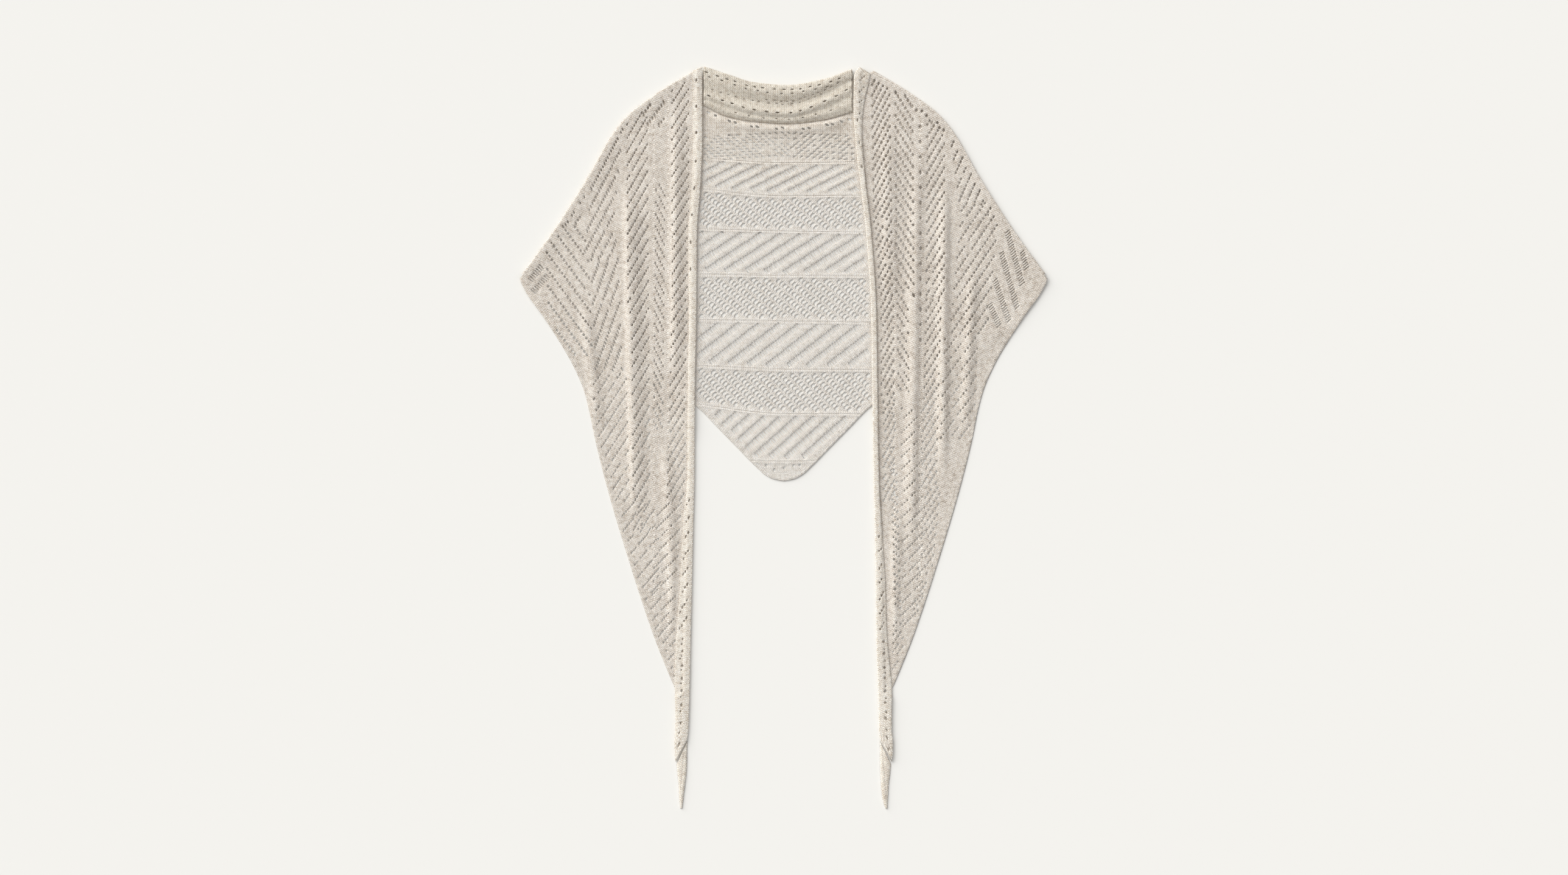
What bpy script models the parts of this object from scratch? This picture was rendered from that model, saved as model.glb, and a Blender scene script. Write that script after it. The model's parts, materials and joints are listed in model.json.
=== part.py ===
"""Lace shawl, a knitted triangle laid flat with its two ends brought forward over the shoulders.

The back lies on the floor with its point downwards. Both ends are folded over it along the slanted
shoulder lines, run down as two narrow fronts and finish in twisted points. The long edge is rolled
over along the inner side of each front and stands in soft folds behind the neck.

+X is to the right, +Y towards the neck and +Z up from the floor. The origin is on the floor in the
middle of the whole outline. Tables are in millimetres: "half" is the distance from the middle line
and "down" is the distance below the shoulder peaks.
"""

import math

import bmesh
import bpy
import numpy as np
from mathutils import Vector
from mathutils.geometry import delaunay_2d_cdt

MM = 0.001
COLLECTION = "lace_shawl"

# Driving sizes of the laid shawl, in millimetres.
LENGTH = 953.0
WALL = 1.5
SEAM = 0.3
RIB_RISE = 0.6
LAYER = WALL + 0.4
LEFT = -1
RIGHT = 1

# The shoulder fold: the cloth turns under there on this inner radius, and ends in a short leg.
SHOULDER_RADIUS = 1.2
SHOULDER_LEG = 6.0
BEND_STEPS = 4
FOLD_INSET = SHOULDER_RADIUS + WALL
FOLD_RISE = WALL + 2 * SHOULDER_RADIUS
FOLD_RISE_REACH = 22.0
SHOULDER_TOP = 7.0

# The rolled front edge: a narrower bend, a hidden leg and a visible leg of varying width.
EDGE_RADIUS = 0.7
EDGE_LEG = 5.0
EDGE_CROWN = 1.2
EDGE_INSET = EDGE_RADIUS + WALL
EDGE_GAP = 2 * EDGE_RADIUS
EDGE_SHARES = (0.28, 0.75, 1.0)
EDGE_BEND_STEPS = 3

# Where the front comes down to the floor, past the hem of the back under it.
STEP_START = 18.0
STEP_END = 44.0
HEM_COSINE = 0.8

# Outline of the shoulder line, from the peak to the side corner.
SHOULDER = (
    # down, half
    (0.0, 104.0),
    (10.5, 120.9),
    (26.1, 147.8),
    (41.7, 171.2),
    (57.3, 192.7),
    (72.9, 208.3),
    (88.5, 220.0),
    (104.1, 229.7),
    (135.3, 246.9),
    (197.7, 285.9),
    (228.9, 307.3),
    (268.0, 336.0),
)

# Free hem of a front, from the side corner down to where its tail begins.
HEM = (
    # down, half
    (274.2, 337.6),
    (280.0, 336.0),
    (291.3, 330.3),
    (322.5, 308.1),
    (353.7, 287.8),
    (384.9, 269.9),
    (416.1, 256.2),
    (447.3, 248.0),
    (478.5, 241.8),
    (540.9, 226.2),
    (634.5, 198.5),
    (728.1, 167.7),
    (774.9, 149.4),
    (798.0, 139.6),
)

# Inner edge of each front, and the width of its rolled-over strip.
FRONT_EDGE = (
    # down, left half, right half, left strip, right strip
    (0.0, 103.4, 97.5, 13.0, 22.0),
    (15.2, 103.4, 89.3, 13.0, 20.0),
    (51.9, 103.4, 88.5, 13.0, 14.0),
    (94.8, 103.4, 90.9, 12.6, 9.5),
    (156.4, 105.9, 97.9, 12.0, 7.5),
    (218.0, 110.4, 104.9, 11.5, 7.5),
    (318.6, 111.1, 111.2, 10.0, 7.5),
    (419.2, 113.0, 112.7, 9.6, 7.5),
    (526.0, 113.5, 114.3, 9.6, 7.6),
    (585.4, 115.0, 115.8, 13.6, 9.0),
    (660.3, 116.6, 117.0, 15.6, 13.0),
    (725.8, 118.2, 117.8, 18.6, 14.2),
    (775.0, 119.2, 119.4, 20.4, 17.0),
    (799.9, 119.7, 120.0, 19.6, 18.6),
    (829.5, 120.5, 120.9, 17.8, 17.2),
    (855.3, 121.7, 121.5, 15.9, 16.2),
    (867.0, 123.2, 123.2, 14.0, 14.2),
    (899.7, 124.0, 123.5, 10.9, 11.6),
    (938.0, 128.3, 126.0, 5.6, 7.6),
    (953.0, 129.9, 130.2, 2.6, 2.8),
)
TAIL_START = 800.0
TAIL_LEG_DONE = 814.0
TWIST_AT = 863.0
TWIST_SLANT = 30.0
TWIST_REACH = 45.0
PEAK_SLANT = 0.62
PEAK_REACH = 60.0
TIP_WALL = 2.6

# Hem of the back, from its point at the middle out to the side corners.
BACK_HEM = (
    # half, down
    (0.0, 533.5),
    (12.0, 531.5),
    (24.0, 525.5),
    (36.0, 514.5),
    (60.0, 490.0),
    (85.0, 464.5),
    (108.0, 441.0),
    (200.0, 372.0),
    (290.0, 306.0),
    (330.0, 277.0),
)

# The folds behind the neck. Each row is a line across; the columns are its distance down at six
# places from left to right, its height in the middle and its height at the two ends.
NECK_PLACES = (-102.9, -70.0, -40.0, 4.0, 49.0, 88.1)
NECK_LINES = (
    # name, down at each place, middle height, end height
    ("silhouette", (1.2, 12.0, 21.5, 25.4, 18.3, 4.3), 6.5, 4.5),
    ("roll crest", (14.0, 24.0, 32.5, 37.0, 28.0, 11.5), 8.6, 4.7),
    ("first valley", (29.0, 40.0, 47.0, 52.0, 39.0, 19.5), 4.4, 3.4),
    ("second crest", (39.0, 50.0, 59.0, 63.5, 50.0, 29.5), 7.6, 4.5),
    ("small dip", (43.5, 56.0, 64.5, 68.0, 58.0, 40.0), 6.4, 3.4),
    ("third crest", (47.0, 60.5, 68.0, 71.2, 63.5, 50.0), 6.6, 4.5),
    ("deep crease", (52.0, 66.7, 72.0, 75.0, 70.6, 60.5), 1.9, 1.9),
)
NECK_RADIUS_MIDDLE = 2.5
NECK_RADIUS_END = 1.5
NECK_LEG = 6.0
NECK_STEP = 12.0

# The low ridge of the back, just under the deep crease.
RIDGE_BELOW = (
    # distance below the crease, height
    (2.6, 0.0),
    (7.0, 3.0),
    (11.5, 1.9),
    (19.0, 0.0),
)
RIDGE_ENDS = (-101.0, 86.0)
RIDGE_END_REACH = 22.0

# Knitted bands of the back, between raised garter lines.
BANDS = (
    # top, bottom, kind, lean in degrees
    (126.0, 168.0, "ladder", 28.0),
    (168.0, 213.3, "mesh", 45.0),
    (213.3, 270.3, "ladder", 33.0),
    (270.3, 328.8, "mesh", 45.0),
    (328.8, 389.6, "ladder", 38.0),
    (389.6, 446.6, "mesh", 45.0),
    (446.6, 507.4, "ladder", 41.0),
)
RIB_SPACING = 26.0
RIB_STEP = 18.0
RIB_END_GAP = 4.5
BACK_HALF_SHOWN = 120.0
GARTER_HALF_WIDTH = 1.7
RIB_HALF_WIDTH = 3.2
SLOT = (6.0, 2.4)
MESH_CELL = (6.0, 3.2)

# Long soft folds of the fronts. Each runs from one end to the other with its own flanks.
FOLDS = (
    # side, top down, top half, bottom down, bottom half, height, inner flank, outer flank
    (LEFT, 40.0, 145.0, 400.0, 147.0, 5.0, 13.0, 18.0),
    (LEFT, 120.0, 201.0, 600.0, 190.0, 6.0, 20.0, 9.0),
    (LEFT, 300.0, 256.0, 470.0, 236.0, 4.0, 12.0, 12.0),
    (LEFT, 470.0, 152.0, 760.0, 137.0, 3.5, 11.0, 12.0),
    (RIGHT, 60.0, 132.0, 330.0, 136.0, 3.6, 12.0, 14.0),
    (RIGHT, 80.0, 172.0, 650.0, 163.0, 5.0, 14.0, 10.0),
    (RIGHT, 130.0, 206.0, 540.0, 204.0, 6.0, 12.0, 9.0),
    (RIGHT, 250.0, 243.0, 480.0, 232.0, 4.0, 11.0, 10.0),
    (RIGHT, 560.0, 146.0, 765.0, 138.0, 3.0, 11.0, 11.0),
)
FOLD_FADE = 0.22

# Net of points that a panel is worked out on, and the eyelets cut through it.
FRONT_CELL = (11.0, 27.0)
BACK_CELL = (17.0, 14.0)
NET_CLEARANCE = 0.42
GAP_CLEARANCE = 5.5
BACK_SIDE_TOP = 16.0
HIDDEN_CELL = 34.0
EYELET = (4.2, 6.0)
EYELET_STEP = (19.0, 36.0)
EYELET_FIRST = (22.0, 34.0)
EYELET_COLUMNS = 12
EYELET_ROWS = 22
EYELET_SLANT = 15.0
EYELET_LEAN = 14.0
EYELET_MARGIN = 9.0
TAIL_EYELET = (4.2, 5.4)
TAIL_EYELETS = (560.0, 866.0)

MATERIALS = {
    # sRGB as seen, roughness
    "back_knit": ((0.84, 0.83, 0.82), 0.92),
    "front_knit": ((0.81, 0.78, 0.74), 0.92),
    "neck_knit": ((0.79, 0.75, 0.70), 0.92),
    "edge_knit": ((0.83, 0.80, 0.76), 0.92),
}


def smooth_curve(places, values):
    """Returns a curve through the table's points that never overshoots them."""
    x = np.array(places, float)
    y = np.array(values, float)
    step = np.diff(x)
    rise = np.diff(y) / step
    slope = np.zeros(len(x))
    slope[0] = rise[0]
    slope[-1] = rise[-1]
    for i in range(1, len(x) - 1):
        if rise[i - 1] * rise[i] > 0:
            slope[i] = 2 * rise[i - 1] * rise[i] / (rise[i - 1] + rise[i])

    def at(where):
        where = min(max(where, x[0]), x[-1])
        i = min(int(np.searchsorted(x, where, side="right")) - 1, len(step) - 1)
        t = (where - x[i]) / step[i]
        start = (1 + 2 * t) * (1 - t) ** 2 * y[i] + t * (1 - t) ** 2 * step[i] * slope[i]
        end = t * t * (3 - 2 * t) * y[i + 1] + t * t * (t - 1) * step[i] * slope[i + 1]
        return float(start + end)

    return at


def column(table, index):
    """Returns one column of a table."""
    return [row[index] for row in table]


def ease(t):
    """Returns a smooth step from 0 to 1."""
    t = min(max(t, 0.0), 1.0)
    return t * t * (3 - 2 * t)


shoulder_half = smooth_curve(column(SHOULDER, 0), column(SHOULDER, 1))
hem_half = smooth_curve(column(HEM, 0), column(HEM, 1))
back_hem = smooth_curve(column(BACK_HEM, 0), column(BACK_HEM, 1))
edge_half = {
    LEFT: smooth_curve(column(FRONT_EDGE, 0), column(FRONT_EDGE, 1)),
    RIGHT: smooth_curve(column(FRONT_EDGE, 0), column(FRONT_EDGE, 2)),
}
edge_width = {
    LEFT: smooth_curve(column(FRONT_EDGE, 0), column(FRONT_EDGE, 3)),
    RIGHT: smooth_curve(column(FRONT_EDGE, 0), column(FRONT_EDGE, 4)),
}
neck_line = {name: smooth_curve(NECK_PLACES, downs) for name, downs, middle, end in NECK_LINES}


def place(side, half, down):
    """Returns the point (x, y) of a half width and a distance down, on one side."""
    return Vector((side * half, LENGTH / 2 - down))


def down_of(y):
    """Returns the distance down of a y."""
    return LENGTH / 2 - y


def steps(start, end, size):
    """Returns evenly spaced values from start to end, about size apart."""
    count = max(1, round(abs(end - start) / size))
    return [start + (end - start) * i / count for i in range(count + 1)]


def nearest_on_line(point, line):
    """Returns how far a point is from a chain of points, and the closest point on it."""
    best = (1e9, line[0])
    for a, b in zip(line, line[1:]):
        along = b - a
        t = min(max((point - a).dot(along) / along.length_squared, 0.0), 1.0)
        foot = a + along * t
        best = min(best, ((point - foot).length, foot), key=lambda pair: pair[0])
    return best


def outward_normals(line, side):
    """Returns the normal at each point of a chain, on the side away from the middle line."""
    normals = []
    for i in range(len(line)):
        along = line[min(i + 1, len(line) - 1)] - line[max(i - 1, 0)]
        normal = Vector((-along.y, along.x)).normalized()
        normals.append(normal if normal.x * side > 0 else -normal)
    return normals


def shoulder_line(side, inset, first_down, size):
    """Returns the shoulder outline moved in by an inset, from its top to the side corner."""
    line = [place(side, shoulder_half(d), d) for d in steps(first_down, SHOULDER[-1][0], size)]
    return [p - n * inset for p, n in zip(line, outward_normals(line, side))]


def seam_half(side, down):
    """Returns the half width where a front panel meets the hidden leg of its rolled edge.

    The seam is twice as wide at the peak, where the edge curves most.
    """
    seam = SEAM * (1 + ease(1 - down / 60.0))
    return edge_half[side](down) + EDGE_INSET + EDGE_LEG + seam


# Chains that the heights below are measured from.
fold_chain = {side: shoulder_line(side, FOLD_INSET, SHOULDER_TOP, 13.0) for side in (LEFT, RIGHT)}


def resting_height(side, x, y):
    """Returns the height of a front's underside, before its long folds."""
    past_hem = (down_of(y) - back_hem(abs(x))) * HEM_COSINE
    height = LAYER * (1 - ease((past_hem - STEP_START) / (STEP_END - STEP_START)))
    from_fold = nearest_on_line(Vector((x, y)), fold_chain[side])[0]
    return height + (FOLD_RISE - height) * ease(1 - from_fold / FOLD_RISE_REACH)


def fold_height(side, x, y):
    """Returns how far the long folds lift a front at a point."""
    down = down_of(y)
    half = abs(x)
    lift = 0.0
    for fold_side, top, top_half, bottom, bottom_half, height, inner, outer in FOLDS:
        t = (down - top) / (bottom - top)
        if fold_side != side or not 0 < t < 1:
            continue
        across = half - (top_half + (bottom_half - top_half) * t)
        flank = inner if across < 0 else outer
        ends = ease(t / FOLD_FADE) * ease((1 - t) / FOLD_FADE)
        lift = max(lift, height * ends * ease(1 - abs(across) / flank))
    beyond_strip = half - edge_half[side](down) - edge_width[side](down) - 1.5
    return lift * ease(beyond_strip / 10.0)


def front_height(side, x, y):
    """Returns the height of a front's underside."""
    return resting_height(side, x, y) + fold_height(side, x, y)


def inside(point, loop):
    """Says whether a point lies inside a closed loop."""
    crossings = 0
    for a, b in zip(loop, loop[1:] + loop[:1]):
        if (a.y > point.y) != (b.y > point.y):
            where = a.x + (point.y - a.y) / (b.y - a.y) * (b.x - a.x)
            crossings += where > point.x
    return crossings % 2 == 1


def clear_of(point, loop, gap):
    """Says whether a point is inside a loop and at least a gap from it."""
    return inside(point, loop) and nearest_on_line(point, loop + loop[:1])[0] >= gap


def turned_axes(lean):
    """Returns the long and the cross direction of a gap that leans by some degrees from upright."""
    turn = math.radians(lean)
    up = Vector((math.sin(turn), math.cos(turn)))
    return up, Vector((up.y, -up.x))


def diamond(centre, wide, long, lean):
    """Returns the four corners of an eyelet."""
    up, right = turned_axes(lean)
    return [
        centre + right * wide / 2,
        centre + up * long / 2,
        centre - right * wide / 2,
        centre - up * long / 2,
    ]


def slot(centre, long, wide, lean):
    """Returns the four corners of a slot."""
    up, right = turned_axes(lean)
    ends = ((1, 1), (-1, 1), (-1, -1), (1, -1))
    return [centre + right * wide / 2 * a + up * long / 2 * b for a, b in ends]


def face_up(bm):
    """Gives a surface one facing all over, with its highest face pointing up."""
    bmesh.ops.recalc_face_normals(bm, faces=bm.faces)
    top = max(bm.faces, key=lambda f: f.calc_center_median().z)
    if top.normal.z < 0:
        bmesh.ops.reverse_faces(bm, faces=bm.faces)


def middle_of(loop):
    """Returns the mean of a loop's points."""
    return sum(loop, Vector((0, 0))) / len(loop)


def panel_mesh(outline, gaps, net, height, lines=()):
    """Fills an outline with triangles on a net of points, leaves the gaps open and lifts it."""
    points = list(outline)
    edges = [(i, (i + 1) % len(outline)) for i in range(len(outline))]
    for gap in gaps:
        first = len(points)
        points += gap
        edges += [(first + i, first + (i + 1) % len(gap)) for i in range(len(gap))]
    for line in lines:
        first = len(points)
        points += line
        edges += [(first + i, first + i + 1) for i in range(len(line) - 1)]
    points += net
    ring = list(range(len(outline)))
    verts, _, faces, *_ = delaunay_2d_cdt(points, edges, [ring], 1, 1e-4)
    bm = bmesh.new()
    made = [bm.verts.new((v.x, v.y, height(v.x, v.y))) for v in verts]
    for face in faces:
        if not any(inside(middle_of([verts[i] for i in face]), gap) for gap in gaps):
            bm.faces.new([made[i] for i in face])
    loose = [v for v in bm.verts if not v.link_faces]
    bmesh.ops.delete(bm, geom=loose, context="VERTS")
    face_up(bm)
    return bm


def net_points(outline, gaps, lines, across, along, shift=None):
    """Returns the points of a net that lie inside an outline and clear of its gaps and lines."""
    keep = []
    gap = min(across, along) * NET_CLEARANCE
    low_x = min(p.x for p in outline)
    high_x = max(p.x for p in outline)
    low_y = min(p.y for p in outline)
    high_y = max(p.y for p in outline)
    for y in np.arange(low_y, high_y, along):
        sideways = shift(y) % across if shift else 0.0
        for x in np.arange(low_x - across, high_x, across):
            p = Vector((float(x) + sideways, float(y)))
            if not clear_of(p, outline, gap):
                continue
            if any((p - middle_of(g)).length < GAP_CLEARANCE for g in gaps):
                continue
            if any(nearest_on_line(p, line)[0] < gap for line in lines):
                continue
            keep.append(p)
    return keep


def turn_under(bm, chain, normals, leg):
    """Extrudes a fold line round its bend in steps, and then inwards for a short leg."""
    ring = {}
    for q, n in zip(chain, normals):
        v = min(bm.verts, key=lambda w: (w.co.x - q.x) ** 2 + (w.co.y - q.y) ** 2)
        ring[v] = (q, n, v.co.z)
    route = [(math.pi * k / BEND_STEPS, 0.0) for k in range(1, BEND_STEPS + 1)]
    for angle, inward in route + [(math.pi, leg)]:
        edges = [e for e in bm.edges if e.is_boundary and all(v in ring for v in e.verts)]
        made = bmesh.ops.extrude_edge_only(bm, edges=edges)["geom"]
        new_ring = {}
        for v in [g for g in made if isinstance(g, bmesh.types.BMVert)]:
            old = min(ring, key=lambda w: (w.co - v.co).length)
            q, n, top = ring[old]
            new_ring[v] = (q, n, top)
        for v, (q, n, top) in new_ring.items():
            bend = (top - WALL) / 2
            out = q + n * (bend * math.sin(angle) - inward)
            v.co = (out.x, out.y, top - bend * (1 - math.cos(angle)))
        ring = new_ring
    face_up(bm)


def grid_mesh(rows):
    """Makes an open surface through rows of points, all of one length."""
    count = len(rows[0])
    bm = bmesh.new()
    bmesh.ops.create_grid(bm, x_segments=count - 1, y_segments=len(rows) - 1, size=0.5)
    for v in bm.verts:
        i = round((v.co.x + 0.5) * (count - 1))
        j = round((v.co.y + 0.5) * (len(rows) - 1))
        v.co = rows[j][i]
    return bm


def knit_material(name):
    """Makes the plain cloth material of a piece."""
    colour, roughness = MATERIALS[name]
    material = bpy.data.materials.new(name)
    material.use_nodes = True
    shader = material.node_tree.nodes["Principled BSDF"]
    linear = [((c + 0.055) / 1.055) ** 2.4 for c in colour]
    shader.inputs["Base Color"].default_value = (*linear, 1.0)
    shader.inputs["Roughness"].default_value = roughness
    shader.inputs["Metallic"].default_value = 0.0
    return material


def cloth(name, bm, material, collection, wall=WALL, raised=None):
    """Turns an open surface into a piece with a cloth wall on its outer side.

    raised gives, for a point, how far the outer side stands above the plain wall.
    """
    mesh = bpy.data.meshes.new(name)
    bmesh.ops.scale(bm, vec=(MM, MM, MM), verts=bm.verts)
    bm.to_mesh(mesh)
    bm.free()
    mesh.shade_smooth()
    mesh.materials.append(material)
    piece = bpy.data.objects.new(name, mesh)
    collection.objects.link(piece)
    solidify = piece.modifiers.new("wall", "SOLIDIFY")
    solidify.offset = 1.0
    solidify.use_quality_normals = True
    full = wall + (RIB_RISE if raised else 0.0)
    solidify.thickness = full * MM
    if raised:
        group = piece.vertex_groups.new(name="thickness")
        for v in mesh.vertices:
            rise = raised(v.co.x / MM, v.co.y / MM)
            group.add([v.index], (wall + rise) / full, "REPLACE")
        solidify.vertex_group = group.name
    return piece


def front_outline(side):
    """Returns a front's outline and its shoulder fold, as the cloth lies before its turn-under."""
    chain = fold_chain[side]
    top = down_of(chain[0].y)
    seam_downs = steps(top + 6.0, 35.0, 5.0) + steps(45.0, 95.0, 10.0)
    seam_downs += steps(120.0, TAIL_START - 1.5, 25.0)
    seam = [place(side, seam_half(side, d), d) for d in seam_downs]
    hem = [place(side, hem_half(d), d) for d in steps(TAIL_START - 2.0, HEM[2][0], 21.0)]
    corner = [place(side, half, down) for down, half in HEM[1::-1]]
    return chain, chain + corner[::-1] + hem[::-1] + seam[::-1]


def front_eyelets(side, outline):
    """Returns the largest eyelets of a front, in slanted rows that change way from band to band."""
    across, along = EYELET_STEP
    gaps = []
    for i in range(EYELET_COLUMNS):
        for j in range(EYELET_ROWS):
            down = EYELET_FIRST[1] + along * j + (i % 2) * EYELET_SLANT
            centre = place(side, seam_half(side, down) + EYELET_FIRST[0] + across * i, down)
            gap = diamond(centre, *EYELET, side * (EYELET_LEAN if i % 2 else -EYELET_LEAN))
            if all(clear_of(p, outline, EYELET_MARGIN) for p in gap):
                gaps.append(gap)
    return gaps


def fold_lines(side, outline):
    """Returns the lines along the long folds: the crest, the middle of each flank and its foot."""
    lines = []
    for fold_side, top, top_half, bottom, bottom_half, _, inner, outer in FOLDS:
        if fold_side != side:
            continue
        for offset in (-inner, -inner / 2, 0.0, outer / 2, outer):
            line = []
            for down in steps(top, bottom, FRONT_CELL[1]):
                half = top_half + (bottom_half - top_half) * (down - top) / (bottom - top)
                line.append(place(side, half + offset, down))
            lines.append([p for p in line if clear_of(p, outline, 3.0)])
    return lines


def make_front(side, name, collection, material):
    """Makes one front with its shoulder turned under the back."""
    chain, outline = front_outline(side)
    lines = fold_lines(side, outline)
    gaps = [gap for gap in front_eyelets(side, outline)
            if all(nearest_on_line(middle_of(gap), line)[0] > EYELET[0] * 0.7 for line in lines)]
    across, along = FRONT_CELL

    def shift(y):
        return side * edge_half[side](down_of(y))

    net = net_points(outline, gaps, lines, across, along, shift)
    bm = panel_mesh(outline, gaps, net, lambda x, y: front_height(side, x, y), lines)
    turn_under(bm, chain, outward_normals(chain, side), SHOULDER_LEG)
    return cloth(name, bm, material, collection)


def edge_rows(side, downs):
    """Returns the rows of a rolled edge: hidden leg, bend and visible leg, at each distance down.

    The first rows slant with the shoulder line, and the last ones with the twist of the tail.
    """
    rows = []
    for d in downs:
        width = edge_width[side](d)
        into_tail = ease((d - TAIL_START) / (TAIL_LEG_DONE - TAIL_START))
        leg = EDGE_LEG + (width - EDGE_INSET - EDGE_LEG) * into_tail
        crown = EDGE_CROWN * (0.3 + 0.7 * ease(width / 12.0 - 0.5))
        section = [(EDGE_INSET + leg, WALL), (EDGE_INSET + leg * 0.4, WALL)]
        for k in range(EDGE_BEND_STEPS + 1):
            angle = math.pi * k / EDGE_BEND_STEPS
            out = EDGE_INSET - EDGE_RADIUS * math.sin(angle)
            section.append((out, WALL + EDGE_RADIUS * (1 - math.cos(angle))))
        for share in EDGE_SHARES:
            rise = WALL + EDGE_GAP + crown * math.sin(math.pi * share)
            section.append((EDGE_INSET + (width - EDGE_INSET) * share, rise))
        row = []
        for out, rise in section:
            slant = PEAK_SLANT * max(out - 1.0, 0.0) * ease(1 - (d - downs[0]) / PEAK_REACH)
            slant += TWIST_SLANT * out / width * ease(1 - (TWIST_AT - d) / TWIST_REACH)
            p = place(side, edge_half[side](d + slant) + out, d + slant)
            row.append(Vector((p.x, p.y, resting_height(side, p.x, p.y) + rise)))
        rows.append(row)
    return rows


def cut_edge_eyelets(bm, side):
    """Cuts a row of large eyelets through the visible leg of a rolled edge, above its twist."""
    chosen = []
    for face in bm.faces:
        centre = face.calc_center_median()
        down = down_of(centre.y)
        out = abs(centre.x) - edge_half[side](down)
        middle = EDGE_INSET + (edge_width[side](down) - EDGE_INSET) * sum(EDGE_SHARES[:2]) / 2
        on_top = centre.z > resting_height(side, centre.x, centre.y) + WALL + EDGE_GAP * 0.7
        if TAIL_EYELETS[0] < down < TAIL_EYELETS[1] and on_top and abs(out - middle) < 1.5:
            chosen.append(face)
    bmesh.ops.inset_individual(bm, faces=chosen, thickness=0.2)
    for face in chosen:
        centre = face.calc_center_median()
        for v in face.verts:
            v.co.x = centre.x + math.copysign(TAIL_EYELET[0] / 2, v.co.x - centre.x)
            v.co.y = centre.y + math.copysign(TAIL_EYELET[1] / 2, v.co.y - centre.y)
    bmesh.ops.delete(bm, geom=chosen, context="FACES_ONLY")


def make_edge(side, name, collection, material):
    """Makes the rolled inner edge of a front, down to the twist in its tail."""
    downs = steps(3.0, 33.0, 6.0) + steps(45.0, 95.0, 13.0) + steps(120.0, TAIL_START, 25.0)
    downs += steps(TAIL_LEG_DONE, TWIST_AT, 16.0)
    bm = grid_mesh(edge_rows(side, downs))
    cut_edge_eyelets(bm, side)
    face_up(bm)
    return cloth(name, bm, material, collection)


def make_tip(side, name, collection, material):
    """Makes the rolled point of a tail, from the twist down to its end."""
    rows = []
    downs = steps(TWIST_AT + 3.6, LENGTH, 14.0)
    for d in downs:
        inner = edge_half[side](d)
        width = edge_width[side](d)
        row = []
        for share in (0.0, 0.33, 0.67, 1.0):
            slant = TWIST_SLANT * share * ease(1 - (d - downs[0]) / 80.0)
            p = place(side, inner + width * share, min(d + slant, LENGTH))
            row.append(Vector((p.x, p.y, 0.0)))
        rows.append(row)
    bm = grid_mesh(rows)
    face_up(bm)
    return cloth(name, bm, material, collection, wall=TIP_WALL)


def nearness_to_end(x):
    """Returns 0 in the middle of the neck folds, rising to 1 at their two ends."""
    return ease((abs(x - sum(NECK_PLACES[::5]) / 2) - 40.0) / 55.0)


def neck_radius(x):
    """Returns the inner radius of the top bend of the neck folds."""
    return NECK_RADIUS_MIDDLE + (NECK_RADIUS_END - NECK_RADIUS_MIDDLE) * nearness_to_end(x)


def neck_section(x):
    """Returns the points of the neck folds at one x, from the hidden leg to the deep crease."""
    end = nearness_to_end(x)
    radius = neck_radius(x)
    top = neck_line["silhouette"](x) + radius + WALL
    section = [(top + NECK_LEG, WALL)]
    for k in range(BEND_STEPS + 1):
        angle = math.pi * k / BEND_STEPS
        section.append((top - radius * math.sin(angle), WALL + radius * (1 - math.cos(angle))))
    first = section[-1]
    lines = [(first[0], first[1])]
    for name, _, middle, at_end in NECK_LINES[1:]:
        lines.append((neck_line[name](x), middle + (at_end - middle) * end))
    profile = smooth_curve([p[0] for p in lines], [p[1] for p in lines])
    for a, b in zip(lines, lines[1:]):
        for t in (0.5, 1.0):
            where = a[0] + (b[0] - a[0]) * t
            section.append((where, profile(where)))
    return [Vector((x, LENGTH / 2 - down, z)) for down, z in section]


def neck_columns():
    """Returns the places across that the neck folds and the top of the back are worked out at."""
    return steps(NECK_PLACES[0], NECK_PLACES[-1], NECK_STEP)


def make_neck(name, collection, material):
    """Makes the folds of the long edge behind the neck."""
    bm = grid_mesh([neck_section(x) for x in neck_columns()])
    face_up(bm)
    return cloth(name, bm, material, collection)


def back_side(side):
    """Returns the side of the back, a seam away from the leg that a front turns under."""
    chain = fold_chain[side]
    inward = SHOULDER_LEG + SEAM
    line = [q - n * inward for q, n in zip(chain, outward_normals(chain, side))]
    return [p for p in line if down_of(p.y) > BACK_SIDE_TOP]


def back_outline():
    """Returns the outline of the back, inside the legs that the neck and the fronts turn under."""
    loop = []
    neck_inset = NECK_LEG + 1.5 * SEAM + WALL
    for x in neck_columns()[1:-1]:
        down = neck_line["silhouette"](x) + neck_inset + neck_radius(x)
        loop.append(Vector((x, LENGTH / 2 - down)))
    loop += back_side(RIGHT)
    hem = [row for row in BACK_HEM if row[0] < loop[-1].x - 14.0]
    loop += [place(RIGHT, half, down) for half, down in hem[::-1]]
    loop += [place(LEFT, half, down) for half, down in hem[1:]]
    loop += back_side(LEFT)[::-1]
    return loop


def band_ribs(top, bottom, lean):
    """Returns the slanted rib lines of a ladder band, each from its foot to its head."""
    slope = math.tan(math.radians(lean))
    middle = (top + bottom) / 2
    ribs = []
    reach = (bottom - top) / slope / 2
    count = int((BACK_HALF_SHOWN + reach) // RIB_SPACING)
    for i in range(-count, count + 1):
        line = []
        for down in steps(bottom - RIB_END_GAP, top + RIB_END_GAP, RIB_STEP):
            line.append(Vector((RIB_SPACING * i + (middle - down) / slope, LENGTH / 2 - down)))
        ribs.append(line)
    return ribs


def visible_on_back(p, margin):
    """Says whether a point of the back shows between the fronts, and lies inside its hem."""
    side = LEFT if p.x < 0 else RIGHT
    down = down_of(p.y)
    return abs(p.x) < edge_half[side](down) - margin and down < back_hem(abs(p.x)) - margin


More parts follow.
